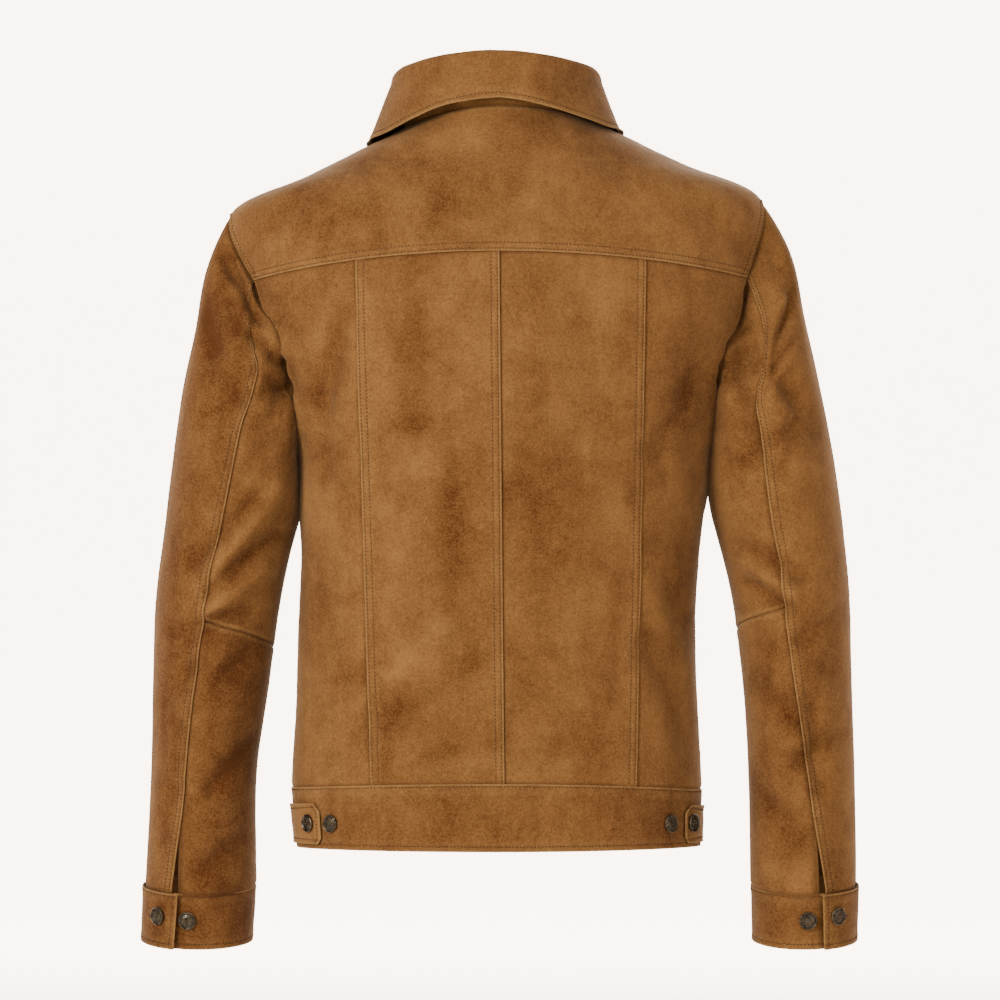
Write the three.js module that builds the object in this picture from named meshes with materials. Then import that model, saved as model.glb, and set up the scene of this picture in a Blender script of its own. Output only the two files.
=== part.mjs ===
// A suede jacket in the trucker cut, filled out as worn and empty inside.
// Millimetres, +Z up. The back faces -Y, the left of a view from behind is -X.
// The origin is the middle of the neck base, where the wearer's neck and shoulders hold the jacket.
import * as THREE from 'three';

// Driving dimensions
const WALL = 1.8; // thickness of the suede wall
const SEAM_GAP = 0.3; // clear gap between two pieces at a seam
const LAY_GAP = 0.5; // clear gap under a piece that lies on another
const PLACKET_HALF = 18; // half the width of the front button band
const LAP_SHARE = 0.35; // how far the right button band laps under the first column of its front
const COLLAR_END = 3; // the collar ends stop this far from the centre front
const ARMHOLE_BITE = 0.25; // how far the armhole cuts into a quarter of the girth at the front
const BUTTON_RADIUS = 8;
const BUTTON_HEIGHT = 3.6;
const TAB_LOW = -618; // lower edge of the waist tabs
const TAB_HIGH = -583; // upper edge of the waist tabs
const FLAP_EDGE = { left: 94, right: 92 }; // turn of the cuff's flap edge
const SIDE_HEM = -622; // height of the hem at the side seams
const SIDE_WAIST = -570; // height of the waist seam at the side seams
const TAB_END = { left: -157, right: 162 }; // where the free ends of the tabs lie
const STAND_DROP = 8; // the stand ends this far below the collar's fold line
const ELBOW_SLANT = 0.38; // how far the elbow seam falls to the front seam, in rows of the sleeve table
const VENT_TOP = 4.25; // row of the sleeve table at which the vent opens
const VENT_HALF = 3.5; // half the vent's width at the cuff
const CUFF_SPIRAL = 1.5; // the cuff's flap stands out, and its under end in, by this much
const CUFF_LAP = 34; // degrees by which the flap covers the under end

// Numbered rows of the torso, from the hem to the neck
const HEM = 0;
const WAIST = 1;
const ARMPIT = 5;
const YOKE = 7;
const TIP = 8;
const NECK = 10;

function table(names, rows) {
  return rows.map((row) => Object.fromEntries(names.map((name, k) => [name, row[k]])));
}

// Girths of the torso: heights at centre back, sides and centre front, half widths and depths,
// the side seam's place, and how square the girth is at the centre and at the side
const TORSO = table(
  ['zBack', 'zLeft', 'zRight', 'zFront', 'left', 'right', 'back', 'front', 'mid', 'flat', 'round'],
  [
    [-624, -622, -621, -624, 178, 177, 114, 119, 2, 0.62, 0.6],
    [-564.5, -569, -571, -566, 182, 178, 112, 120, 2, 0.62, 0.6],
    [-500, -500, -500, -500, 179, 175, 106, 121, 2, 0.62, 0.6],
    [-420, -420, -420, -420, 176, 173, 104, 124, 2, 0.62, 0.6],
    [-345, -347, -347, -345, 174, 178, 110, 131, 2, 0.62, 0.6],
    [-262, -278, -278, -270, 178, 187, 120, 138, 4, 0.62, 0.6],
    [-182, -196, -196, -196, 200, 208, 125, 139, 6, 0.62, 0.58],
    [-99.6, -127, -124, -132, 226, 227, 117, 127, 8, 0.62, 0.55],
    [-44, -65.5, -53.5, -92, 236, 231, 101, 110, 8, 0.6, 0.5],
    [-8, -30.5, -20.5, -68, 166, 161, 84, 95, 6, 0.58, 0.5],
    [29, 10, 17, -44, 84, 82, 64, 78, 4, 0.56, 0.52],
  ],
);

// Seams of the back: where each one lies at the hem and at the yoke
const BACK_SEAMS = table(
  ['name', 'atHem', 'atYoke'],
  [
    ['left', -112, -125.5],
    ['center', 5, 0.5],
    ['right', 120.5, 128.5],
  ],
);

// How far the armhole cuts into a quarter of the girth at the back, from the armpit (0) to the tip (1)
const HOLE_BITE = table(
  ['at', 'left', 'right'],
  [
    [0, 0.27, 0.25],
    [0.16, 0.28, 0.25],
    [0.3, 0.25, 0.262],
    [0.4, 0.255, 0.235],
    [0.47, 0.26, 0.178],
    [0.55, 0.21, 0.18],
    [0.66, 0.215, 0.21],
    [0.74, 0.19, 0.19],
    [0.82, 0.18, 0.19],
    [1, 0.18, 0.19],
  ],
);

// Turn of the sleeve's back seam past the yoke's seam, in degrees, by the row of the sleeve table
const SEAM_DRIFT = table(
  ['at', 'left', 'right'],
  [
    [0, 0, 0],
    [0.13, 8.6, 0.8],
    [0.2, 16, 1.2],
    [0.27, 20.8, 4.5],
    [0.34, 21.4, 15],
    [0.43, 20.5, 22.5],
    [0.55, 19.2, 22],
    [0.75, 18.6, 21.9],
    [1.1, 18, 20.8],
    [1.5, 18, 19.8],
    [2.2, 19.4, 21.2],
    [3.1, 18.8, 19.4],
    [4, 19.8, 20.9],
    [5, 19.8, 21],
  ],
);

// Rings of the sleeves below the cap: height, outer and inner edge, middle and half of the depth,
// the turn of the ring, in degrees, that carries the back seam round, and how far its back hangs down
const SLEEVE = {
  left: table(
    ['z', 'outer', 'inner', 'mid', 'deep', 'turn', 'tilt'],
    [
      [-339, -294, -178, 8, 69, -6, 0],
      [-405, -302, -192, 10, 65, -10, 1],
      [-484, -305, -203, 16, 59, -15, 3],
      [-563, -307, -214, 25, 53, -20, 5],
      [-656, -312, -214, 38, 49, -26, 8],
      [-704.5, -314, -217, 45, 49, -28, 8.5],
    ],
  ),
  right: table(
    ['z', 'outer', 'inner', 'mid', 'deep', 'turn', 'tilt'],
    [
      [-339, 303, 189, 8, 69, 5, 0],
      [-405, 309, 205, 10, 65, 7, 1],
      [-484, 311, 215, 16, 59, 3, 3],
      [-563, 314, 220, 25, 53, -8, 5],
      [-656, 315.5, 222, 38, 49, -20, 8],
      [-704.5, 314, 223, 45, 49, -23, 8.5],
    ],
  ),
};
// How far the sleeve cap's outer line stands out, in even steps from the armhole to the first ring
const CAP_PUSH = table(
  ['left', 'right'],
  [
    [0, 0],
    [0, 3],
    [-4.4, -3.7],
    [-1.8, -4.2],
    [0, -2],
    [0, 0],
  ],
);
const ELBOW = { left: 2.22, right: 2.07 }; // row of the sleeve table where the elbow seam starts
const CUFF_TOP = 5; // row of the sleeve table at the cuff's seam
const CUFF_LOW = 6; // row of the sleeve table at the cuff's lower edge

// The collar's fold line and the fall's free edge, by the share of the way from centre back
// (0) over the side of the neck (1) to centre front (2)
const COLLAR_COLUMNS = ['at', 'foldOut', 'foldUp', 'edgeX', 'edgeY', 'edgeZ'];
const COLLAR = {
  left: table(COLLAR_COLUMNS, [
    [0, -5, 47.5, 0, -80, 38],
    [0.22, -5, 48.5, 24, -79, 35],
    [0.5, -3, 50, 55, -72, 27],
    [0.8, 0, 50, 98, -44, 6],
    [1, 1, 46, 115, 2, -4],
    [1.35, 0, 40, 102, 58, -36],
    [1.7, -3, 33, 80, 94, -70],
    [2, -4, 27, 50, 112, -104],
  ]),
  right: table(COLLAR_COLUMNS, [
    [0, -5, 47.5, 0, -80, 38],
    [0.22, -5, 47, 24, -79, 34],
    [0.5, -3, 46, 55, -72, 25],
    [0.8, -1, 44, 93, -44, 11],
    [1, -1, 39, 107, 2, 4],
    [1.35, -1, 34, 97, 58, -32],
    [1.7, -3, 28, 78, 94, -68],
    [2, -4, 24, 50, 112, -104],
  ]),
};

// The largest folds, as lines on a view from behind: soft troughs (depth above 0) and ridges
const FOLDS = table(
  ['face', 'x0', 'z0', 'x1', 'z1', 'width', 'depth'],
  [
    ['back', -136, -154, -160, -236, 22, 4],
    ['back', 150, -185, 160, -245, 22, 4],
    ['back', -150, -470, -60, -520, 30, 2.5],
    ['back', 60, -505, 150, -470, 30, 2.5],
    ['back', -190, -165, -215, -185, 18, 5],
    ['back', 192, -206, 220, -180, 18, 5],
    ['back', -215, -395, -290, -372, 20, 4.5],
    ['back', -225, -455, -300, -430, 20, 4],
    ['back', 225, -400, 300, -380, 20, 4.5],
    ['back', 232, -470, 305, -440, 20, 4],
    ['front', -140, -150, -165, -240, 24, 4],
    ['front', 140, -150, 165, -240, 24, 4],
    ['front', -150, -480, -70, -515, 30, 2.5],
    ['front', 70, -515, 150, -480, 30, 2.5],
    ['front', -215, -410, -295, -425, 20, 5],
    ['front', 220, -410, 300, -425, 20, 5],
    ['front', -218, -470, -295, -480, 20, 4],
    ['front', 225, -470, 300, -480, 20, 4],
  ],
);

const suede = { color: 0x9b6e3e, roughness: 0.95, metalness: 0 };
const antiqueMetal = { color: 0x4a4038, roughness: 0.42, metalness: 1 };

const vec = (x, y, z) => new THREE.Vector3(x, y, z);
const clamp = (value, low, high) => Math.min(high, Math.max(low, value));
const sideSign = (side) => (side === 'left' ? -1 : 1);

// Reads a table at a place between its rows, on a smooth curve through them
function readRow(rows, at) {
  const k = clamp(Math.floor(at), 0, rows.length - 2);
  const t = at - k;
  const read = {};
  for (const name of Object.keys(rows[0])) {
    const b = rows[k][name];
    const c = rows[k + 1][name];
    const a = k > 0 ? rows[k - 1][name] : 2 * b - c;
    const d = k + 2 < rows.length ? rows[k + 2][name] : 2 * c - b;
    const bend = 2 * a - 5 * b + 4 * c - d + (3 * b - a - 3 * c + d) * t;
    read[name] = b + 0.5 * t * (c - a + t * bend);
  }
  return read;
}

// Reads a table whose first column gives the places of its rows
function readAt(rows, place) {
  let k = 0;
  while (k < rows.length - 2 && rows[k + 1].at < place) k += 1;
  return readRow(rows, k + (place - rows[k].at) / (rows[k + 1].at - rows[k].at));
}

// Depth of the folds at a point, on the face that its normal turns to
function foldDepth(point, normal) {
  let depth = 0;
  for (const fold of FOLDS) {
    const facing = fold.face === 'back' ? -normal.y : normal.y;
    if (facing <= 0) continue;
    const dx = fold.x1 - fold.x0;
    const dz = fold.z1 - fold.z0;
    const along = ((point.x - fold.x0) * dx + (point.z - fold.z0) * dz) / (dx * dx + dz * dz);
    const t = clamp(along, 0, 1);
    const away = Math.hypot(point.x - fold.x0 - t * dx, point.z - fold.z0 - t * dz);
    depth += fold.depth * facing * Math.exp(-((away / fold.width) ** 2));
  }
  return depth;
}

// A point and its outward normal on a surface given by two numbers
function onSurface(surface, a, b, center) {
  const step = 1e-3;
  const point = surface(a, b);
  const acrossA = surface(a + step, b).sub(surface(a - step, b));
  const acrossB = surface(a, b + step).sub(surface(a, b - step));
  const normal = acrossA.cross(acrossB).normalize();
  if (normal.dot(point.clone().sub(center)) < 0) normal.negate();
  const depth = foldDepth(point, normal);
  point.addScaledVector(normal, -depth);
  return { point, normal };
}

// The torso: girth runs from -1 (left side seam) over 0 (centre) to 1 (right side seam)
function torsoBase(face, girth, row) {
  const read = readRow(TORSO, row);
  const sign = girth < 0 ? -1 : 1;
  const wide = girth < 0 ? read.left : read.right;
  const zSide = girth < 0 ? read.zLeft : read.zRight;
  const deep = face === 'back' ? -read.back : read.front;
  const zCenter = face === 'back' ? read.zBack : read.zFront;
  const s = Math.abs(girth);
  const near = (1 - s) ** 3 + 3 * (1 - s) ** 2 * s;
  const handle = 3 * (1 - s) * s * s;
  const x = wide * (3 * (1 - s) ** 2 * s * read.flat + handle + s ** 3);
  const y = deep * near + (read.mid + read.round * (deep - read.mid)) * handle + read.mid * s ** 3;
  return vec(sign * x, y, zCenter * near + zSide * (handle + s ** 3));
}

function torsoAt(face, girth, row) {
  const base = torsoBase(face, girth, row);
  return onSurface((a, b) => torsoBase(face, a, b), girth, row, vec(0, 0, base.z));
}

// The girth at which a row of the torso reaches a given x
function girthAtX(face, row, x) {
  let low = -1;
  let high = 1;
  for (let k = 0; k < 40; k += 1) {
    const middle = (low + high) / 2;
    if (torsoBase(face, middle, row).x < x) low = middle;
    else high = middle;
  }
  return (low + high) / 2;
}

// The girth at which the armhole or the side seam ends a row
function armBite(face, side, row) {
  if (face === 'front') return ARMHOLE_BITE;
  return readAt(HOLE_BITE, clamp((row - ARMPIT) / (TIP - ARMPIT), 0, 1))[side];
}

function armEdge(face, side, row) {
  const up = clamp((row - ARMPIT) / (TIP - ARMPIT), 0, 1);
  return sideSign(side) * (1 - 2 * armBite(face, side, row) * Math.sqrt(up * (1 - up)));
}

// The armhole's turns, from its top (0) over the back (90) and the underarm (180) to the front
const yokeTurn = Math.acos((2 * (YOKE - ARMPIT)) / (TIP - ARMPIT) - 1) * THREE.MathUtils.RAD2DEG;
const highTurns = [0, 1, 2, 3, 4].map((k) => (yokeTurn * k) / 4);
const lowTurns = [1, 2, 3, 4, 5, 6].map((k) => yokeTurn + ((180 - yokeTurn) * k) / 6);
const backTurns = [...highTurns, ...lowTurns];
const rowAtTurn = (turn) => ARMPIT + (TIP - ARMPIT) * 0.5 * (1 + Math.cos(turn * THREE.MathUtils.DEG2RAD));
const lowRows = lowTurns.map(rowAtTurn).reverse();
const highRows = highTurns.map(rowAtTurn).reverse();

function between(from, to, count) {
  return Array.from({ length: count + 1 }, (_, k) => from + ((to - from) * k) / count);
}

const bodyRows = between(WAIST, ARMPIT, 6);
const backRows = [...bodyRows.slice(0, -1), ...lowRows, YOKE];
const yokeRows = [YOKE, ...highRows.slice(1), ...between(TIP, NECK, 3).slice(1)];
const frontRows = [...backRows, ...yokeRows.slice(1)];
const bandRows = between(HEM, WAIST, 2);

// Girths of the back at a row: left edge, left seam, centre seam, right seam and right edge
function backStops(row) {
  const seamRow = clamp(row, WAIST, YOKE);
  const seams = BACK_SEAMS.map((seam) => {
    const x = THREE.MathUtils.lerp(seam.atHem, seam.atYoke, (seamRow - WAIST) / (YOKE - WAIST));
    return girthAtX('back', seamRow, x);
  });
  return [armEdge('back', 'left', row), ...seams, armEdge('back', 'right', row)];
}

const SIDE_STEPS = 5;
const CENTER_STEPS = 4;
const FRONT_STEPS = 8;

function backGirths(row, first, last) {
  const stops = backStops(row);
  const girths = [stops[first]];
  for (let k = first; k < last; k += 1) {
    const steps = k === 0 || k === 3 ? SIDE_STEPS : CENTER_STEPS;
    girths.push(...between(stops[k], stops[k + 1], steps).slice(1));
  }
  return girths;
}

function frontGirths(row, side) {
  const inner = girthAtX('front', row, sideSign(side) * PLACKET_HALF);
  return between(inner, armEdge('front', side, row), FRONT_STEPS);
}

function bandGirths(row) {
  return [-PLACKET_HALF, -COLLAR_END, COLLAR_END, PLACKET_HALF].map((x) => girthAtX('front', row, x));
}

// Moves a grid's border in by half a seam gap, so that neighbours on the same line stay apart
function insetBorder(grid, amount) {
  const rows = grid.length;
  const columns = grid[0].length;
  const moved = grid.map((line) => line.map((node) => node.point.clone()));
  const pull = (j, i, toJ, toI) => {
    const toward = grid[toJ][toI].point.clone().sub(grid[j][i].point).normalize();
    moved[j][i].addScaledVector(toward, amount);
  };
  for (let j = 0; j < rows; j += 1) {
    pull(j, 0, j, 1);
    pull(j, columns - 1, j, columns - 2);
  }
  for (let i = 0; i < columns; i += 1) {
    pull(0, i, 1, i);
    pull(rows - 1, i, rows - 2, i);
  }
  return grid.map((line, j) => line.map((node, i) => ({ ...node, point: moved[j][i] })));
}

// A closed wall: the grid's points moved out and in along each node's direction
function wallGeometry(grid, outward, inward) {
  const rows = grid.length;
  const columns = grid[0].length;
  const positions = [];
  for (const offset of [outward, -inward]) {
    for (const line of grid) {
      for (const node of line) {
        const lean = offset < 0 && node.rim ? node.rim : node.normal;
        const point = node.point.clone().addScaledVector(lean, offset);
        positions.push(point.x, point.y, point.z);
      }
    }
  }
  const indices = [];
  const half = rows * columns;
  const at = (j, i) => j * columns + i;
  const quad = (a, b, c, d) => indices.push(a, b, c, a, c, d);
  for (let j = 0; j + 1 < rows; j += 1) {
    for (let i = 0; i + 1 < columns; i += 1) {
      quad(at(j, i), at(j, i + 1), at(j + 1, i + 1), at(j + 1, i));
      quad(half + at(j, i), half + at(j + 1, i), half + at(j + 1, i + 1), half + at(j, i + 1));
    }
  }
  // Neighbours split the faces of their common rim along the same diagonal, from b to below a
  const rim = (a, b) => indices.push(b, a, half + a, b, half + a, half + b);
  const farRim = (a, b) => indices.push(a, b, half + a, b, half + b, half + a);
  for (let i = 0; i + 1 < columns; i += 1) {
    rim(at(0, i), at(0, i + 1));
    farRim(at(rows - 1, i), at(rows - 1, i + 1));
  }
  for (let j = 0; j + 1 < rows; j += 1) {
    rim(at(j, columns - 1), at(j + 1, columns - 1));
    farRim(at(j, 0), at(j + 1, 0));
  }
  return orientedGeometry(positions, indices);
}

// Turns a closed mesh's faces outwards
function orientedGeometry(positions, indices) {
  const point = (k) => vec(positions[3 * k], positions[3 * k + 1], positions[3 * k + 2]);
  let volume = 0;
  for (let k = 0; k < indices.length; k += 3) {
    volume += point(indices[k]).dot(point(indices[k + 1]).cross(point(indices[k + 2])));
  }
  const faces = [];
  for (let k = 0; k < indices.length; k += 3) {
    const [a, b, c] = indices.slice(k, k + 3);
    faces.push(a, ...(volume > 0 ? [b, c] : [c, b]));
  }
  const geometry = new THREE.BufferGeometry();
  geometry.setAttribute('position', new THREE.Float32BufferAttribute(positions, 3));
  geometry.setIndex(faces);
  geometry.computeVertexNormals();
  return geometry;
}

const jacket = new THREE.Group();
jacket.name = 'suede_jacket';
const grids = {};

function addPiece(name, geometry, look) {
  const mesh = new THREE.Mesh(geometry, new THREE.MeshStandardMaterial(look));
  mesh.name = name;
  jacket.add(mesh);
}

// A panel whose outer face is the grid
function addPanel(name, rawGrid) {
  const grid = insetBorder(rawGrid, SEAM_GAP / 2);
  grids[name] = grid;
  addPiece(name, wallGeometry(grid, 0, WALL), suede);
}

// Torso panels
function torsoGrid(face, rows, girthsOf) {
  return rows.map((row) => girthsOf(row).map((girth) => torsoAt(face, girth, row)));
}

addPanel('back_side_left', torsoGrid('back', backRows, (row) => backGirths(row, 0, 1)));
addPanel('back_center_left', torsoGrid('back', backRows, (row) => backGirths(row, 1, 2)));
addPanel('back_center_right', torsoGrid('back', backRows, (row) => backGirths(row, 2, 3)));
addPanel('back_side_right', torsoGrid('back', backRows, (row) => backGirths(row, 3, 4)));
addPanel('yoke_back', torsoGrid('back', yokeRows, (row) => backGirths(row, 0, 4)));
addPanel('waistband_back', torsoGrid('back', bandRows, () => backGirths(WAIST, 0, 4)));
for (const side of ['left', 'right']) {
  addPanel(`front_${side}`, torsoGrid('front', frontRows, (row) => frontGirths(row, side)));
}

// The left button band closes over the right one, which lies one wall deeper and laps under its front
const bandColumns = torsoGrid('front', [...bandRows.slice(0, -1), ...frontRows], bandGirths);
addPanel('placket_left', bandColumns);
const frontColumns = torsoGrid('front', [...bandRows.slice(0, -1), ...frontRows], (row) =>
  frontGirths(row, 'right').slice(0, 2),
);
const lapColumns = bandColumns.map((line, j) => {
  const [edge, next] = frontColumns[j];
  const lap = { point: edge.point.clone().lerp(next.point, LAP_SHARE), normal: edge.normal };
  return [...line, lap].map((node) => ({
    ...node,
    point: node.point.clone().addScaledVector(node.normal, -(WALL + LAY_GAP)),
  }));
});
addPanel('placket_right', lapColumns);
for (const side of ['left', 'right']) {
  addPanel(`waistband_front_${side}`, torsoGrid('front', bandRows, (row) => frontGirths(row, side)));
}

// Sleeves: turn runs in degrees from the top (0) over the back (90) and the underarm (180)
function armholeBase(side, turn) {
  const round = ((turn % 360) + 360) % 360;
  const row = rowAtTurn(round);
  const face = round <= 180 ? 'back' : 'front';
  const bite = armBite(face, side, row) * Math.abs(Math.sin(round * THREE.MathUtils.DEG2RAD));
  return { face, girth: sideSign(side) * (1 - bite), row };
}

function ringBase(side, turn, ring) {
  const read = readRow(SLEEVE[side], ring - 1);
  const angle = (turn + read.turn) * THREE.MathUtils.DEG2RAD;
  const middle = (read.outer + read.inner) / 2;
  const half = (read.outer - read.inner) / 2;
  const height = read.z - read.tilt * Math.sin(angle);
  return vec(middle + half * Math.cos(angle), read.mid - read.deep * Math.sin(angle), height);
}

function sleeveStart(side, turn) {
  const angle = turn * THREE.MathUtils.DEG2RAD;
  const over = Math.cos(angle);
  const outward = 0.36 + 0.285 * over - 0.125 * over ** 2;
  return vec(sideSign(side) * outward, -0.4 * Math.sin(angle), -0.85).normalize();
}

function sleeveBase(side, turn, ring) {
  if (ring >= 1) return ringBase(side, turn, ring);
  const hole = armholeBase(side, turn);
  const from = torsoBase(hole.face, hole.girth, hole.row);
  const to = ringBase(side, turn, 1);
  const reach = from.distanceTo(to);
  const startPull = sleeveStart(side, turn).multiplyScalar(0.85 * reach);
  const endPull = ringBase(side, turn, 1.02).sub(to).normalize().multiplyScalar(reach);
  const u = ring;
  const top = Math.max(0, Math.cos(turn * THREE.MathUtils.DEG2RAD)) ** 2;
  const push = readRow(CAP_PUSH, 5 * u)[side] * sideSign(side) * top;
  return from
    .multiplyScalar(2 * u ** 3 - 3 * u ** 2 + 1)
    .add(vec(push, 0, 0))
    .addScaledVector(startPull, u ** 3 - 2 * u ** 2 + u)
    .addScaledVector(to, 3 * u ** 2 - 2 * u ** 3)
    .addScaledVector(endPull, u ** 3 - u ** 2);
}

function sleeveAt(side, turn, ring) {
  const sum = vec(0, 0, 0);
  for (const around of [0, 90, 180, 270]) sum.addScaledVector(sleeveBase(side, around, ring), 0.25);
  return onSurface((a, b) => sleeveBase(side, a, b), turn, ring, sum);
}

// The sleeve's first row stands just clear of the armhole's edge, and its rim leans away from it
function sleeveEdge(side, turn) {
  const hole = armholeBase(side, turn);
  const torso = torsoAt(hole.face, hole.girth, hole.row);
  const sleeve = sleeveAt(side, turn, 0.02);
  const start = sleeveStart(side, turn);
  const before = armholeBase(side, turn - 1);
  const after = armholeBase(side, turn + 1);
  const along = torsoBase(after.face, after.girth, after.row);
  along.sub(torsoBase(before.face, before.girth, before.row));
  const intoHole = along.cross(torso.normal).normalize();
  const holeMiddle = sleeveBase(side, 0, 0).add(sleeveBase(side, 180, 0)).multiplyScalar(0.5);
  if (intoHole.dot(holeMiddle.sub(torso.point)) < 0) intoHole.negate();
  const point = torso.point
    .clone()
    .addScaledVector(torso.normal, SEAM_GAP)
    .addScaledVector(intoHole, SEAM_GAP / 2);
  const rim = sleeve.normal.clone();
  const clearOfWall = -rim.dot(torso.normal);
  if (clearOfWall < 0.15) {
    const need = (SEAM_GAP / WALL + rim.dot(intoHole)) / Math.max(0.2, start.dot(intoHole));
    rim.addScaledVector(start, -Math.max(0, need));
  }
  return { point, normal: sleeve.normal, rim };
}

const FRONT_SEAM = 360 - backTurns[8]; // turn of the sleeve's front seam
const BACK_SEAM = backTurns[4]; // turn of the sleeve's back seam at the armhole
const capRings = [0, 0.08, 0.16, 0.24, 0.34, 0.46, 0.64, 0.82, 1];
const upperRings = [...capRings, 1.4, 1.75];
const lowerRings = [2.68, 3, 3.35, 3.8, VENT_TOP, 4.6, CUFF_TOP];

// Turns from one seam to the other on the armhole's own marks
function turnsBetween(from, to) {
  const marks = [...backTurns, ...backTurns.slice(1, -1).map((turn) => 360 - turn)];
  const all = [...marks.map((turn) => turn - 360), ...marks, ...marks.map((turn) => turn + 360)];
  const inside = all.filter((turn) => turn >= from - 1e-6 && turn <= to + 1e-6);
  return [...new Set(inside.map((turn) => turn.toFixed(6)))].map(Number).sort((a, b) => a - b);
}

// Shifts a vent edge sideways, in degrees, the further the nearer it is to the cuff
function ventShift(ring) {
  const open = clamp((ring - VENT_TOP) / (CUFF_TOP - VENT_TOP), 0, 1);
  return (open * VENT_HALF * 360) / (2 * Math.PI * 49);
}

function sleeveGrid(side, turns, rings, options = {}) {
  return rings.map((ring) =>
    turns.map((turn, i) => {
      if (ring === 0) return sleeveEdge(side, turn);
      const fromFront = turn > BACK_SEAM ? FRONT_SEAM - turn : turn - FRONT_SEAM + 360;
      const whole = turn > BACK_SEAM ? FRONT_SEAM - BACK_SEAM : BACK_SEAM - FRONT_SEAM + 360;
      const share = fromFront / whole;
      let at = turn + readAt(SEAM_DRIFT, ring)[side] * share;
      if (options.ventFirst && i === 0) at += ventShift(ring);
      if (options.ventLast && i === turns.length - 1) at -= ventShift(ring);
      return sleeveAt(side, at, ring === ELBOW[side] ? ring + ELBOW_SLANT * (1 - share) : ring);
    }),
  );
}

for (const side of ['left', 'right']) {
  const topTurns = turnsBetween(FRONT_SEAM - 360, BACK_SEAM);
  const underTurns = turnsBetween(BACK_SEAM, FRONT_SEAM);
  const wholeLength = [...upperRings, ELBOW[side], ...lowerRings];
  addPanel(`top_sleeve_${side}`, sleeveGrid(side, topTurns, wholeLength, { ventLast: true }));
  addPanel(`under_sleeve_upper_${side}`, sleeveGrid(side, underTurns, [...upperRings, ELBOW[side]]));
  const lowerGrid = sleeveGrid(side, underTurns, [ELBOW[side], ...lowerRings], { ventFirst: true });
  addPanel(`under_sleeve_lower_${side}`, lowerGrid);
}

// Cuffs: one band round the wrist whose flap laps over its own under end
function cuffGrid(side) {
  const turns = between(FLAP_EDGE[side] - 360 - CUFF_LAP, FLAP_EDGE[side], 24).reverse();
  return between(CUFF_TOP, CUFF_LOW, 2).map((ring) =>
    turns.map((turn, i) => {
      const node = sleeveAt(side, turn, ring);
      const spiral = THREE.MathUtils.lerp(CUFF_SPIRAL, -CUFF_SPIRAL, i / (turns.length - 1));
      node.point.addScaledVector(node.normal, spiral);
      return node;
    }),
  );
}
for (const side of ['left', 'right']) addPanel(`cuff_${side}`, cuffGrid(side));

// Waist tabs lie on the waistband, from the side seam towards the back
for (const side of ['left', 'right']) {
  const sign = sideSign(side);
  const rowAtZ = (z) => (z - SIDE_HEM) / (SIDE_WAIST - SIDE_HEM);
  const bandGirth = backGirths(WAIST, 0, 4).map((girth) => girth * sign).filter((girth) => girth > 0);
  const endGirth = girthAtX('back', WAIST, TAB_END[side]) * sign;
  const girths = [endGirth, ...bandGirth.filter((girth) => girth > endGirth + 0.02).sort((a, b) => a - b)];
  const grid = between(rowAtZ(TAB_LOW), rowAtZ(TAB_HIGH), 2).map((row) =>
    girths.map((girth) => {
      const node = torsoAt('back', girth * sign, row);
      node.point.addScaledVector(node.normal, LAY_GAP);
      return node;
    }),
  );
  grids[`waist_tab_${side}`] = grid;
  addPiece(`waist_tab_${side}`, wallGeometry(grid, WALL, 0), suede);
}

// Collar: the neck line runs from the left front over the back to the right front
function neckLine() {
  const front = (side) => {
    const sign = sideSign(side);
    const inner = girthAtX('front', NECK, sign * COLLAR_END);
    return [inner, ...frontGirths(NECK, side)].map((girth) => ({ face: 'front', girth }));
  };
  const back = backGirths(NECK, 0, 4).slice(1, -1).map((girth) => ({ face: 'back', girth }));
  return [...front('left'), ...back, ...front('right').reverse()];
}

// The collar's lines at one place of the neck: seam, stand top, fold and free edge
function collarSection({ face, girth }) {
  const step = 1e-3;
  const seam = torsoBase(face, girth, NECK);
  const along = torsoBase(face, girth + step, NECK).sub(torsoBase(face, girth - step, NECK));
  const out = vec(along.y, -along.x, 0).normalize();
  if (out.dot(vec(seam.x, seam.y, 0)) < 0) out.negate();
  const share = face === 'back' ? Math.abs(girth) : 2 - Math.abs(girth);
  const read = readAt(COLLAR[girth < 0 ? 'left' : 'right'], share);
  const up = (height, outward) => seam.clone().addScaledVector(out, outward).add(vec(0, 0, height));
  const sign = girth < 0 ? -1 : 1;
  const edge = vec(sign * read.edgeX, read.edgeY, read.edgeZ);
  return { seam, out, up, edge, fold: read };
}

function standPoint(section, share) {
  const { foldOut, foldUp } = section.fold;
  const outward = THREE.MathUtils.lerp(-WALL / 2, foldOut - WALL / 2, share);
  return section.up(THREE.MathUtils.lerp(SEAM_GAP, foldUp - STAND_DROP - 3 * SEAM_GAP, share), outward);
}

// The fall rolls over the fold line in three steps and then runs out to its edge
function fallPoint(section, share) {
  const { foldOut, foldUp } = section.fold;
  const roll = 0.3;
  const inner = foldOut - WALL / 2;
  const points = [
    section.up(foldUp - STAND_DROP, inner),
    section.up(foldUp + 3, inner),
    section.up(foldUp + 4, inner + 9),
    section.up(foldUp - 8, inner + 10),
  ];
  if (share <= roll) {
    const t = share / roll;
    return new THREE.CubicBezierCurve3(...points).getPoint(t);
  }
  const t = (share - roll) / (1 - roll);
  const bend = points[3].clone().lerp(section.edge, 0.45).addScaledVector(section.out, 2);
  bend.add(vec(0, 0, -4));
  return new THREE.QuadraticBezierCurve3(points[3], bend, section.edge).getPoint(t);
}

// Keeps the fall clear of the shoulders and fronts below it
const torsoMarks = [];
for (const face of ['back', 'front']) {
  for (const girth of between(-1, 1, 48)) {
    for (const row of between(YOKE - 0.5, NECK, 28)) torsoMarks.push(torsoAt(face, girth, row));
  }
}

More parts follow.
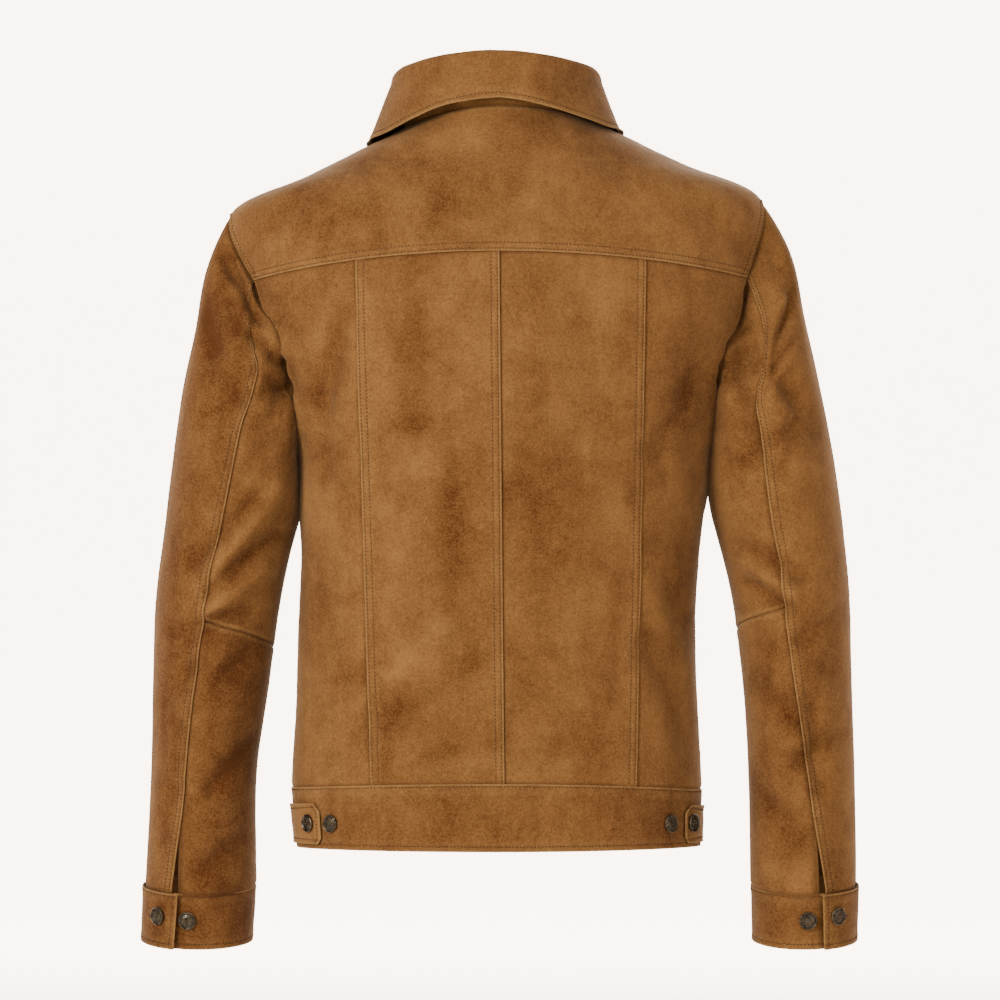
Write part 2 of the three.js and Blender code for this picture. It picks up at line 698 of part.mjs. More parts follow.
function pushClear(point, lift) {
  let best = torsoMarks[0];
  let bestDistance = Infinity;
  for (const mark of torsoMarks) {
    const distance = mark.point.distanceToSquared(point);
    if (distance < bestDistance) {
      best = mark;
      bestDistance = distance;
    }
  }
  const height = point.clone().sub(best.point).dot(best.normal);
  if (height < lift) point.addScaledVector(best.normal, lift - height);
  return point;
}

function collarGrid(shares, pointOf, lift) {
  const sections = neckLine().map(collarSection);
  const points = shares.map((share) =>
    sections.map((section) => {
      const point = pointOf(section, share);
      return lift > 0 ? pushClear(point, lift) : point;
    }),
  );
  return points.map((line, j) =>
    line.map((point, i) => {
      const left = line[Math.max(0, i - 1)];
      const right = line[Math.min(line.length - 1, i + 1)];
      const below = points[Math.max(0, j - 1)][i];
      const above = points[Math.min(points.length - 1, j + 1)][i];
      const normal = right.clone().sub(left).cross(above.clone().sub(below)).normalize();
      return { point, normal };
    }),
  );
}

const standGrid = collarGrid([0, 0.5, 1], standPoint, 0);
addPiece('collar_stand', wallGeometry(standGrid, WALL / 2, WALL / 2), suede);
const fallShares = [0, 0.1, 0.2, 0.3, 0.5, 0.7, 0.85, 1];
const fallGrid = collarGrid(fallShares, fallPoint, WALL / 2 + 2.2);
addPiece('collar_fall', wallGeometry(fallGrid, WALL / 2, WALL / 2), suede);

// Buttons: a low dome with a rim, seated on a place of a grid
function buttonGeometry() {
  const profile = [
    [0, 0],
    [BUTTON_RADIUS * 0.8, 0],
    [BUTTON_RADIUS, BUTTON_HEIGHT * 0.35],
    [BUTTON_RADIUS * 0.9, BUTTON_HEIGHT * 0.8],
    [0, BUTTON_HEIGHT],
  ].map(([radius, height]) => new THREE.Vector2(radius, height));
  return new THREE.LatheGeometry(profile, 12).rotateX(Math.PI / 2);
}

function gridPlace(grid, across, up) {
  const i = clamp(Math.floor(across), 0, grid[0].length - 2);
  const j = clamp(Math.floor(up), 0, grid.length - 2);
  const s = across - i;
  const t = up - j;
  const mix = (key) =>
    grid[j][i][key]
      .clone()
      .multiplyScalar((1 - s) * (1 - t))
      .addScaledVector(grid[j][i + 1][key], s * (1 - t))
      .addScaledVector(grid[j + 1][i][key], (1 - s) * t)
      .addScaledVector(grid[j + 1][i + 1][key], s * t);
  return { point: mix('point'), normal: mix('normal').normalize() };
}

// Places a button on the outermost layer of a grid at a spot of the view from behind or from the front
function addButton(name, gridName, x, z, lift) {
  const grid = grids[gridName];
  const facing = gridName.startsWith('placket') ? 1 : -1;
  const near = [];
  for (const up of between(0, grid.length - 1, 10 * (grid.length - 1))) {
    for (const across of between(0, grid[0].length - 1, 10 * (grid[0].length - 1))) {
      const place = gridPlace(grid, across, up);
      const distance = Math.hypot(place.point.x - x, place.point.z - z);
      if (place.normal.y * facing > 0.1 && distance < 6) near.push({ ...place, distance });
    }
  }
  near.sort((p, q) => p.distance - facing * p.point.y - (q.distance - facing * q.point.y));
  const geometry = buttonGeometry();
  const turn = new THREE.Quaternion().setFromUnitVectors(vec(0, 0, 1), near[0].normal);
  geometry.applyQuaternion(turn);
  geometry.translate(...near[0].point.clone().addScaledVector(near[0].normal, lift).toArray());
  addPiece(name, geometry, antiqueMetal);
}

const BUTTONS = table(
  ['name', 'on', 'x', 'z', 'lift'],
  [
    ['cuff_left_flap', 'cuff_left', -300, -683, LAY_GAP],
    ['cuff_left_spare', 'cuff_left', -274, -687, LAY_GAP],
    ['cuff_right_flap', 'cuff_right', 298, -683, LAY_GAP],
    ['cuff_right_spare', 'cuff_right', 272, -687, LAY_GAP],
    ['waist_left_tab', 'waist_tab_left', -167, -600, WALL + LAY_GAP],
    ['waist_left_spare', 'waistband_back', -147, -600, LAY_GAP],
    ['waist_right_tab', 'waist_tab_right', 170, -600, WALL + LAY_GAP],
    ['waist_right_spare', 'waistband_back', 150, -600, LAY_GAP],
    ['front_1', 'placket_left', 0, -597, LAY_GAP],
    ['front_2', 'placket_left', 0, -492, LAY_GAP],
    ['front_3', 'placket_left', 0, -387, LAY_GAP],
    ['front_4', 'placket_left', 0, -282, LAY_GAP],
    ['front_5', 'placket_left', 0, -177, LAY_GAP],
    ['front_6', 'placket_left', 0, -72, LAY_GAP],
  ],
);
for (const button of BUTTONS) {
  addButton(`button_${button.name}`, button.on, button.x, button.z, button.lift);
}

export default jacket;
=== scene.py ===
# %% [markdown]
# # A suede jacket, panel by panel
# The jacket hangs empty in the shape of a worn one and is seen from behind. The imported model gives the
# frame: its size, its place and one plain solid for each piece that a maker cuts. Here each of those solids
# is replaced by a thin shell of suede with creases, lapped seams and stitches.

# %% The frame comes first
import math

import bpy
import numpy as np
from mathutils import Matrix, Vector
from mathutils.kdtree import KDTree


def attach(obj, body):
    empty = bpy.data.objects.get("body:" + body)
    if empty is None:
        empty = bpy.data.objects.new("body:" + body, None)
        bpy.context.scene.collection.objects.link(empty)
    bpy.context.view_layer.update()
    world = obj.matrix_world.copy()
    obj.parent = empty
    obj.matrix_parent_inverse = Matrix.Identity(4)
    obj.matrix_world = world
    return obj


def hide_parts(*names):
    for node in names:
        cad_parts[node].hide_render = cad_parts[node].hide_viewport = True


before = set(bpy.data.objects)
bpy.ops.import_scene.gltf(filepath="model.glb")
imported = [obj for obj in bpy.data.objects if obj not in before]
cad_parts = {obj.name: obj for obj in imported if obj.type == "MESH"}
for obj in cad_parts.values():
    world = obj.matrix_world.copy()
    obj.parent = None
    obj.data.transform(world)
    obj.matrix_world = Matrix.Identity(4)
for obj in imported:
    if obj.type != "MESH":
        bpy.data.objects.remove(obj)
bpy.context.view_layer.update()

MM = 0.001  # every size below is in millimetres, and Blender works in metres
WALL = 1.5  # thickness of the suede
GRID = 3.4  # size of a mesh cell on open cloth
RNG_SEED = 11
print("frame nodes:", len(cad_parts), "suede pieces and buttons")

# %% [markdown]
# ## The cut of the torso
# A garment's form can be sculpted, simulated or lofted. A loft is used here, because a pattern maker thinks
# in girths too: each row of the table is one girth of the torso, from the hem up to the neck, and a smooth
# curve through the rows gives the surface. The same rows made the solids, so the shells lie exactly where
# those are.

# %% Girths of the torso and sleeves
HEM, WAIST, ARMPIT, YOKE, TIP, NECK = 0, 1, 5, 7, 8, 10
ARMHOLE_BITE = 0.25  # how far the armhole cuts into a quarter of the girth at the front
PLACKET_HALF = 18  # half the width of the front button band
COLLAR_END = 3  # the collar ends stop this far from the centre front
TORSO = {
    "columns": [
        "z_back", "z_left", "z_right", "z_front", "left", "right", "back", "front", "mid", "flat", "round",
    ],
    "rows": [
        [-624, -622, -621, -624, 178, 177, 114, 119, 2, 0.62, 0.6],
        [-564.5, -569, -571, -566, 182, 178, 112, 120, 2, 0.62, 0.6],
        [-500, -500, -500, -500, 179, 175, 106, 121, 2, 0.62, 0.6],
        [-420, -420, -420, -420, 176, 173, 104, 124, 2, 0.62, 0.6],
        [-345, -347, -347, -345, 174, 178, 110, 131, 2, 0.62, 0.6],
        [-262, -278, -278, -270, 178, 187, 120, 138, 4, 0.62, 0.6],
        [-182, -196, -196, -196, 200, 208, 125, 139, 6, 0.62, 0.58],
        [-99.6, -127, -124, -132, 226, 227, 117, 127, 8, 0.62, 0.55],
        [-44, -65.5, -53.5, -92, 236, 231, 101, 110, 8, 0.6, 0.5],
        [-8, -30.5, -20.5, -68, 166, 161, 84, 95, 6, 0.58, 0.5],
        [29, 10, 17, -44, 84, 82, 64, 78, 4, 0.56, 0.52],
    ],
}
HOLE_BITE = {  # the same at the back, from the armpit (0) to the shoulder's tip (1)
    "columns": ["at", "left", "right"],
    "rows": [
        [0, 0.27, 0.25],
        [0.16, 0.28, 0.25],
        [0.3, 0.25, 0.262],
        [0.4, 0.255, 0.235],
        [0.47, 0.26, 0.178],
        [0.55, 0.21, 0.18],
        [0.66, 0.215, 0.21],
        [0.74, 0.19, 0.19],
        [0.82, 0.18, 0.19],
        [1, 0.18, 0.19],
    ],
}
SEAM_DRIFT = {  # degrees from the yoke's seam to the sleeve's back seam, by the row of the sleeve table
    "columns": ["at", "left", "right"],
    "rows": [
        [0, 0, 0],
        [0.13, 8.6, 0.8],
        [0.2, 16, 1.2],
        [0.27, 20.8, 4.5],
        [0.34, 21.4, 15],
        [0.43, 20.5, 22.5],
        [0.55, 19.2, 22],
        [0.75, 18.6, 21.9],
        [1.1, 18, 20.8],
        [1.5, 18, 19.8],
        [2.2, 19.4, 21.2],
        [3.1, 18.8, 19.4],
        [4, 19.8, 20.9],
        [5, 19.8, 21],
    ],
}
BACK_SEAMS = {"columns": ["at_hem", "at_yoke"], "rows": [[-112, -125.5], [5, 0.5], [120.5, 128.5]]}
SLEEVE_COLUMNS = ["z", "outer", "inner", "mid", "deep", "turn", "tilt"]
SLEEVE = {
    "left": {
        "columns": SLEEVE_COLUMNS,
        "rows": [
            [-339, -294, -178, 8, 69, -6, 0],
            [-405, -302, -192, 10, 65, -10, 1],
            [-484, -305, -203, 16, 59, -15, 3],
            [-563, -307, -214, 25, 53, -20, 5],
            [-656, -312, -214, 38, 49, -26, 8],
            [-704.5, -314, -217, 45, 49, -28, 8.5],
        ],
    },
    "right": {
        "columns": SLEEVE_COLUMNS,
        "rows": [
            [-339, 303, 189, 8, 69, 5, 0],
            [-405, 309, 205, 10, 65, 7, 1],
            [-484, 311, 215, 16, 59, 3, 3],
            [-563, 314, 220, 25, 53, -8, 5],
            [-656, 315.5, 222, 38, 49, -20, 8],
            [-704.5, 314, 223, 45, 49, -23, 8.5],
        ],
    },
}
CAP_PUSH = {
    "columns": ["left", "right"],
    "rows": [[0, 0], [0, 3], [-4.4, -3.7], [-1.8, -4.2], [0, -2], [0, 0]],
}
ELBOW, ELBOW_SLANT = {"left": 2.22, "right": 2.07}, 0.38
CUFF_TOP, CUFF_LOW = 5, 6
VENT_TOP, VENT_HALF = 4.25, 4.8
SIGN = {"left": -1, "right": 1}


def read_rows(table, at):
    """Reads all columns of a table between its rows, on a smooth curve through them."""
    rows = np.array(table["rows"], float)
    at = np.asarray(at, float)
    k = np.clip(np.floor(at).astype(int), 0, len(rows) - 2)
    t = (at - k)[..., None]
    b, c = rows[k], rows[k + 1]
    a = np.where((k > 0)[..., None], rows[np.maximum(k - 1, 0)], 2 * b - c)
    d = np.where((k + 2 < len(rows))[..., None], rows[np.minimum(k + 2, len(rows) - 1)], 2 * c - b)
    read = b + 0.5 * t * (c - a + t * (2 * a - 5 * b + 4 * c - d + t * (3 * b - a - 3 * c + d)))
    return dict(zip(table["columns"], np.moveaxis(read, -1, 0)))


def read_at(table, at):
    """Reads a table by the values of its column `at`."""
    places = [row[0] for row in table["rows"]]
    return read_rows(table, np.interp(at, places, np.arange(len(places))))


print("torso rows:", len(TORSO["rows"]), "sleeve rings a side:", len(SLEEVE["left"]["rows"]))

# %% [markdown]
# ### From a row to a point
# A quarter of each girth is one cubic Bezier arc from the centre to the side seam. Its two handles say how
# flat the back is and how round the side. Working on whole arrays at once keeps thousands of points quick.

# %% The torso's surface
def stack(x, y, z):
    return np.stack(np.broadcast_arrays(x, y, z), axis=-1)


def unit(v):
    return v / np.maximum(np.linalg.norm(v, axis=-1, keepdims=True), 1e-9)


def torso_base(face, girth, row):
    """girth runs from -1 at the left side seam over 0 at the centre to 1 at the right one."""
    girth, row = np.broadcast_arrays(np.asarray(girth, float), np.asarray(row, float))
    read = read_rows(TORSO, row)
    wide = np.where(girth < 0, read["left"], read["right"])
    z_side = np.where(girth < 0, read["z_left"], read["z_right"])
    deep = -read["back"] if face == "back" else read["front"]
    z_center = read["z_back"] if face == "back" else read["z_front"]
    s = np.abs(girth)
    near = (1 - s) ** 3 + 3 * (1 - s) ** 2 * s
    handle = 3 * (1 - s) * s * s
    x = wide * (3 * (1 - s) ** 2 * s * read["flat"] + handle + s ** 3)
    y = deep * near + (read["mid"] + read["round"] * (deep - read["mid"])) * handle + read["mid"] * s ** 3
    return stack(np.sign(girth) * x, y, z_center * near + z_side * (handle + s ** 3))


def girth_at_x(face, row, x):
    """The girth at which a row reaches a given x, found by halving."""
    row, x = np.broadcast_arrays(np.asarray(row, float), np.asarray(x, float))
    low, high = -np.ones(row.shape), np.ones(row.shape)
    for _ in range(30):
        middle = (low + high) / 2
        below = torso_base(face, middle, row)[..., 0] < x
        low, high = np.where(below, middle, low), np.where(below, high, middle)
    return (low + high) / 2


def arm_edge(face, side, row):
    """The girth at which the armhole, or below it the side seam, ends a row."""
    up = np.clip((np.asarray(row, float) - ARMPIT) / (TIP - ARMPIT), 0, 1)
    bite = read_at(HOLE_BITE, up)[side] if face == "back" else ARMHOLE_BITE
    return SIGN[side] * (1 - 2 * bite * np.sqrt(up * (1 - up)))


def back_stops(row):
    """Girths of the left edge, the three back seams and the right edge at each row."""
    row = np.asarray(row, float)
    seam_row = np.clip(row, WAIST, YOKE)
    share = (seam_row - WAIST) / (YOKE - WAIST)
    seams = [girth_at_x("back", seam_row, low + (high - low) * share) for low, high in BACK_SEAMS["rows"]]
    return [arm_edge("back", "left", row), *seams, arm_edge("back", "right", row)]


# %% [markdown]
# ### Sleeves
# A sleeve below the cap is a stack of oval rings. The cap joins the armhole's edge to the first ring by
# Hermite curves, which leave the armhole outwards and down as the real cap does. Each ring is turned a
# little, so that one fixed line of the mesh follows the back seam of the two-piece sleeve.

# %% The sleeves' surface
FRONT_MARKS = 8
YOKE_TURN = math.degrees(math.acos(2 * (YOKE - ARMPIT) / (TIP - ARMPIT) - 1))
FRONT_SEAM = 360 - (YOKE_TURN + (180 - YOKE_TURN) * (FRONT_MARKS - 4) / 6)


def hole_place(side, turn):
    """Where the armhole's edge lies on the torso: its face, girth and row."""
    angle = np.radians(np.mod(turn, 360))
    row = ARMPIT + (TIP - ARMPIT) * 0.5 * (1 + np.cos(angle))
    behind = np.sin(angle) >= 0
    bite = np.where(behind, read_at(HOLE_BITE, 0.5 * (1 + np.cos(angle)))[side], ARMHOLE_BITE)
    return behind, SIGN[side] * (1 - bite * np.abs(np.sin(angle))), row


def hole_point(side, turn):
    behind, girth, row = hole_place(side, turn)
    return np.where(behind[..., None], torso_base("back", girth, row), torso_base("front", girth, row))


def ring_base(side, turn, ring):
    turn, ring = np.broadcast_arrays(np.asarray(turn, float), np.asarray(ring, float))
    read = read_rows(SLEEVE[side], ring - 1)
    angle = np.radians(turn + read["turn"])
    middle, half = (read["outer"] + read["inner"]) / 2, (read["outer"] - read["inner"]) / 2
    height = read["z"] - read["tilt"] * np.sin(angle)
    return stack(middle + half * np.cos(angle), read["mid"] - read["deep"] * np.sin(angle), height)


def sleeve_start(side, turn):
    angle = np.radians(turn)
    over = np.cos(angle)
    return unit(stack(SIGN[side] * (0.36 + 0.285 * over - 0.125 * over ** 2), -0.4 * np.sin(angle), -0.85))


def sleeve_base(side, turn, ring):
    """turn is in degrees from the top over the back; ring is 0 at the armhole, 1 to 6 down the table."""
    turn, ring = np.broadcast_arrays(np.asarray(turn, float), np.asarray(ring, float))
    start, end = hole_point(side, turn), ring_base(side, turn, 1.0)
    reach = np.linalg.norm(end - start, axis=-1, keepdims=True)
    pull = sleeve_start(side, turn) * 0.85 * reach
    stop = unit(ring_base(side, turn, 1.02) - end) * reach
    u = np.minimum(ring, 1)[..., None]
    cap = start * (2 * u ** 3 - 3 * u ** 2 + 1) + pull * (u ** 3 - 2 * u ** 2 + u)
    cap = cap + end * (3 * u ** 2 - 2 * u ** 3) + stop * (u ** 3 - u ** 2)
    push = read_rows(CAP_PUSH, 5 * u[..., 0])[side] * SIGN[side]
    push = push * np.maximum(0, np.cos(np.radians(turn))) ** 2
    cap = cap + stack(push, 0, 0)
    return np.where((ring < 1)[..., None], cap, ring_base(side, turn, np.maximum(ring, 1)))


def back_seam(side, rows):
    return YOKE_TURN + read_at(SEAM_DRIFT, rows)[side]


print("the sleeve's back seam starts at turn", round(YOKE_TURN, 1))
print("its front seam is at turn", round(FRONT_SEAM, 1))

# %% [markdown]
# ## Creases
# Suede falls in soft troughs with rounder ridges between them. Each crease here is a line placed on the view
# from behind or from the front: where it runs, how wide and how deep it is. A negative depth is a ridge. The
# falloff is a bell curve, so neighbouring creases melt together as cloth does.

# %% Crease tables and the soft noise under them
CREASES = {
    "columns": ["face", "x0", "z0", "x1", "z1", "width", "depth"],  # a ridge has a depth below zero
    "rows": [
        ["back", -244, -99, -209, -160, 7, 5.2],
        ["back", -230, -132, -189, -187, 8, -3.2],
        ["back", -214, -178, -186, -204, 8, 3.4],
        ["back", -209, -224, -184, -216, 8, 5.1],
        ["back", -259, -392, -193, -304, 9, -3.2],
        ["back", -268, -370, -209, -317, 10, 4.5],
        ["back", -254, -396, -194, -348, 8, 5.2],
        ["back", -256, -415, -200, -377, 7, -3.2],
        ["back", -285, -433, -219, -415, 9, 5.2],
        ["back", -253, -484, -209, -440, 11, 4.1],
        ["back", -294, -493, -272, -466, 12, 3.0],
        ["back", -263, -141, -253, -185, 12, 5.1],
        ["back", -272, -255, -228, -229, 14, 3.2],
        ["back", -250, -572, -215, -528, 12, 4.1],
        ["back", -259, -642, -219, -612, 11, 4.9],
        ["back", -298, -616, -285, -572, 11, 3.0],
        ["back", 254, -157, 210, -215, 10, 5.2],
        ["back", 243, -180, 202, -227, 8, -3.2],
        ["back", 219, -187, 194, -209, 8, 3.4],
        ["back", 265, -231, 237, -204, 10, 5.2],
        ["back", 240, -97, 263, -141, 11, 4.1],
        ["back", 208, -290, 256, -255, 11, 4.1],
        ["back", 216, -370, 258, -398, 8, -3.2],
        ["back", 210, -356, 265, -383, 9, 4.9],
        ["back", 214, -387, 252, -412, 7, 4.9],
        ["back", 265, -440, 304, -414, 11, 4.5],
        ["back", 230, -484, 265, -510, 11, 3.6],
        ["back", 265, -546, 300, -524, 11, 4.5],
        ["back", 234, -581, 265, -616, 12, 3.6],
        ["back", 275, -493, 282, -572, 9, 4.5],
        ["back", 278, -255, 256, -211, 12, 3.6],
        ["back", -134, -151, -156, -231, 12, 5.2],
        ["back", -156, -231, -152, -299, 11, 3.8],
        ["back", -112, -141, -129, -246, 12, -1.7],
        ["back", -71, -119, -77, -246, 18, 2.3],
        ["back", -39, -246, -41, -405, 19, 2.3],
        ["back", -94, -471, -50, -429, 11, -2.6],
        ["back", -100, -510, -17, -453, 16, 2.9],
        ["back", -70, -546, 1, -524, 14, 2.0],
        ["back", 177, -204, 137, -275, 14, 4.3],
        ["back", 168, -255, 177, -317, 12, 3.6],
        ["back", 149, -396, 179, -449, 14, 4.6],
        ["back", 133, -440, 168, -530, 14, 4.3],
        ["back", 124, -370, 142, -422, 11, -2.2],
        ["back", 98, -493, 54, -532, 16, 2.3],
        ["back", 18, -290, 54, -370, 21, 1.7],
        ["back", -166, -370, -144, -440, 14, 2.6],
        ["back", -149, -317, -131, -387, 13, -1.7],
        ["back", 76, -141, 89, -246, 19, 1.7],
        ["back", -140, -9, -61, -22, 8, 1.7],
        ["back", -144, -22, -70, -35, 8, 1.4],
        ["back", -39, -9, -52, -79, 14, 2.3],
        ["back", 80, -9, 124, -40, 14, 2.3],
        ["back", -175, -53, -215, -97, 12, 2.6],
        ["back", 168, -53, 214, -97, 12, 2.6],
["back", -235, -104, -212, -158, 5, 3],
        ["back", -222, -107, -208, -143, 5, 2.4],
        ["back", -228, -111, -209, -157, 5, -1.8],
        ["back", -241, -128, -230, -167, 6, 2.2],
        ["back", -217, -172, -189, -195, 5, 3.6],
        ["back", -212, -187, -187, -206, 5, -2.2],
        ["back", -209, -201, -182, -222, 5, 3.0],
        ["back", -188, -231, -212, -253, 6, 2.0],
        ["back", -197, -264, -224, -290, 7, 2.0],
        ["back", 216, -132, 207, -164, 5, 2.8],
        ["back", 201, -179, 218, -165, 5, 3.2],
        ["back", 196, -199, 223, -180, 5, 3.6],
        ["back", 193, -215, 231, -194, 5, 3.4],
        ["back", 196, -206, 228, -187, 5, -2.2],
        ["back", 258, -139, 240, -189, 5, 3.2],
        ["back", 252, -141, 233, -201, 5, -2.4],
        ["back", 267, -167, 243, -201, 5, 2.8],
        ["back", 256, -187, 235, -231, 6, -2.0],
        ["back", 155, -180, 163, -233, 8, 1.6],
        ["back", 265, -246, 247, -290, 8, 2.2],
        ["back", -241, -493, -219, -458, 8, 2.4],
        ["back", -290, -458, -268, -440, 7, 2.0],
        ["back", 275, -458, 302, -475, 8, 2.2],
        ["back", 225, -440, 252, -453, 7, 2.0],
        ["front", -244, -107, -209, -167, 11, 5.2],
        ["front", -214, -185, -184, -209, 9, 5.2],
        ["front", -259, -392, -197, -317, 9, -3.2],
        ["front", -268, -374, -209, -334, 11, 5.2],
        ["front", -282, -431, -224, -405, 10, 5.2],
        ["front", -254, -493, -212, -453, 11, 4.1],
        ["front", -253, -572, -219, -537, 11, 4.1],
        ["front", 249, -157, 210, -211, 11, 5.2],
        ["front", 219, -194, 196, -216, 9, 5.2],
        ["front", 216, -370, 265, -396, 8, -3.2],
        ["front", 210, -356, 269, -378, 10, 5.2],
        ["front", 216, -396, 256, -418, 8, 4.9],
        ["front", 265, -449, 304, -418, 11, 4.5],
        ["front", 256, -546, 296, -524, 11, 4.1],
        ["front", -131, -141, -156, -229, 13, 4.6],
        ["front", -156, -229, -149, -308, 11, 3.2],
        ["front", -87, -484, -34, -440, 16, 2.9],
        ["front", -175, -62, -212, -101, 12, 2.6],
        ["front", 133, -141, 158, -229, 13, 4.6],
        ["front", 158, -229, 149, -308, 11, 3.2],
        ["front", 89, -484, 40, -440, 16, 2.9],
        ["front", 177, -57, 214, -99, 12, 2.6],
        ["front", -61, -246, -65, -370, 18, 2.0],
        ["front", 67, -255, 71, -370, 18, 2.0],
    ],
}
SWELLS = [  # x, z, radius, height: where arm and body lean together
    [-176, -322, 26, 2.2],
    [184, -300, 28, 2.4],
]


def crease_depth(points, normals):
    depth = np.zeros(points.shape[:-1])
    for face, x0, z0, x1, z1, width, deep in CREASES["rows"]:
        facing = np.maximum(0, -normals[..., 1] if face == "back" else normals[..., 1])
        dx, dz = x1 - x0, z1 - z0
        t = np.clip(((points[..., 0] - x0) * dx + (points[..., 2] - z0) * dz) / (dx * dx + dz * dz), 0, 1)
        away = np.hypot(points[..., 0] - x0 - t * dx, points[..., 2] - z0 - t * dz)
        uneven = 1.1 + 0.4 * np.sin(5.1 * t + x0) * (1 - t) + 0.3 * t
        depth += deep * facing * uneven * np.exp(-((away / (0.85 * width)) ** 2))
    for x, z, radius, height in SWELLS:
        away = np.hypot(points[..., 0] - x, points[..., 2] - z)
        depth -= height * np.abs(normals[..., 0]) * np.exp(-((away / radius) ** 2))
    return depth


# Painted shade and painted light: besides the hide's own uneven tone, these patches darken bands where folds
# lie in shade and set the shoulders darker or paler as the light falls.
TONE_AND_PAINTED_LIGHT_PATCHES = {
    "columns": ["x", "z", "wide", "high", "tone"],  # where the cloth is darker or paler from behind: hide tone, painted shade and painted light
    "rows": [
        [-131, -66, 53, 40, -0.3],
        [-136, -18, 44, 11, -0.12],
        [146, -57, 53, 31, 0.3],
        [-43, -44, 12, 35, -0.12],
        [-74, -176, 11, 66, -0.16],
        [-41, -334, 16, 84, -0.14],
        [27, -229, 18, 88, -0.08],
        [-61, -519, 48, 23, -0.15],
        [80, -530, 40, 21, -0.16],
        [-74, -451, 19, 21, 0.16],
        [-250, -167, 14, 28, -0.2],
        [-230, -546, 18, 106, -0.1],
        [-291, -422, 14, 79, -0.1],
        [-224, -334, 18, 62, 0.08],
        [177, -264, 16, 53, -0.08],
        [168, -440, 14, 48, -0.16],
        [137, -167, 11, 44, 0.1],
        [234, -167, 11, 35, 0.1],
        [265, -132, 14, 35, -0.14],
        [238, -370, 26, 26, 0.08],
        [278, -510, 16, 53, -0.08],
        [1, 53, 53, 11, -0.06],
        [-105, -299, 26, 53, 0.06],
        [89, -167, 35, 44, 0.06],
        [-241, -678, 22, 22, -0.15],
    ],
}


def hide_tone_and_painted_light(points, normals):
    """The tone at each point from the wide patches, hide tone with painted shade and painted light; the front
    has the same ones, mirrored.
    """
    mirror = np.where(normals[..., 1] < 0, 1, -1)
    tone = np.zeros(points.shape[:-1])
    for x, z, wide, high, depth in TONE_AND_PAINTED_LIGHT_PATCHES["rows"]:
        across, down = (points[..., 0] * mirror - x) / wide, (points[..., 2] - z) / high
        tone += depth * np.exp(-(across ** 2) - down ** 2)
    return tone * np.clip(np.abs(normals[..., 1]) * 2, 0, 1)


def lattice(cell, seed):
    """A repeatable random value from -1 to 1 for each whole-numbered cell corner."""
    n = cell[..., 0] * 374761393 + cell[..., 1] * 668265263 + cell[..., 2] * 2147483647 + seed * 974634777
    n = (n ^ (n >> 13)) * 1274126177
    return ((n ^ (n >> 16)) & 0xFFFF) / 32767.5 - 1


def soft_noise(points, size, seed):
    """Smooth noise with bumps about one size wide."""
    scaled = points / size
    cell = np.floor(scaled).astype(np.int64)
    f = scaled - cell
    f = f * f * (3 - 2 * f)
    total = np.zeros(points.shape[:-1])
    for corner in np.ndindex(2, 2, 2):
        weight = np.prod(np.where(corner, f, 1 - f), axis=-1)
        total += weight * lattice(cell + corner, seed)
    return total


print("creases placed by hand:", len(CREASES["rows"]))

# %% [markdown]
# ## Seams
# On this jacket nearly every seam is lapped: one panel's edge lies on its neighbour and is stitched down in
# one or two rows. That gives a raised, rolled edge, a puff between the rows and a soft trough under each of
# them. Edges are named here by what they do: `over` lies on top, `under` runs on below its neighbour,
# `plain` meets it in a groove, and `free` is a finished edge with nothing beyond it. At the armhole the body's
# edge is `turned`, a roll with no stitches, and the sleeve's edge is `sunk` below it.

# %% Edge profiles
EDGE_STEPS = [0, 0.15, 0.45, 0.9, 1.6, 2.4, 3.4, 4.8, 6.4, 7.8, 9.2, 11.5]
LAP = 3.2  # how far an under edge runs on below its neighbour
ROW_ONE, ROW_TWO = 2.3, 7.6  # distances of the stitch rows from an over edge
STITCH_DIP = 0.45
STITCHES = {"over": (ROW_ONE, ROW_TWO), "over_one": (ROW_ONE,), "free_one": (4.6,)}
WAVES = [(70, 1.1), (34, 0.55), (15, 0.16)]  # size and height of the soft unevenness of hanging suede
PUCKER = 0.28  # height of the small gathers beside a stitched seam


def edge_lift(kind, d):
    """How far the cloth stands above its smooth surface at a distance d from an edge."""
    lift = np.zeros_like(d)
    if kind.startswith("over"):
        lift = 0.95 * np.exp(-((np.maximum(d - 1.5, 0) / 6.5) ** 2))
    if kind == "over_one":
        lift = lift * 0.5
    if kind == "turned":
        lift = 1.5 * np.exp(-((np.maximum(d - 2, 0) / 7) ** 2))
    if kind == "sunk":
        lift = -1.2 * np.exp(-((np.maximum(d - 5, 0) / 3.5) ** 2))
    if kind == "free_one":
        lift = 0.35 * np.exp(-((d / 5.5) ** 2))
    if kind == "under":
        lift = -0.95 * np.exp(-((np.maximum(d - LAP, 0) / 2.2) ** 2))
    if kind == "plain":
        lift = -0.9 * np.exp(-((d / 1.6) ** 2)) + 0.25 * np.exp(-(((d - 5) / 3.5) ** 2))
    for row in STITCHES.get(kind, ()):
        lift = lift - STITCH_DIP * np.exp(-(((d - row) / 0.9) ** 2))
    return lift


def edge_light(kind, d):
    """Where nap is rubbed pale: on raised edges."""
    if kind == "turned":
        return 0.8 * np.exp(-((d / 1.8) ** 2))
    if kind.startswith("over") or kind.startswith("free"):
        return np.exp(-((d / 1.3) ** 2)) + 0.2 / (1 + np.exp((d - 9.5) / 0.5))
    return 0.5 * np.exp(-(((d - 2.6) / 1.8) ** 2)) if kind == "plain" else np.zeros_like(d)


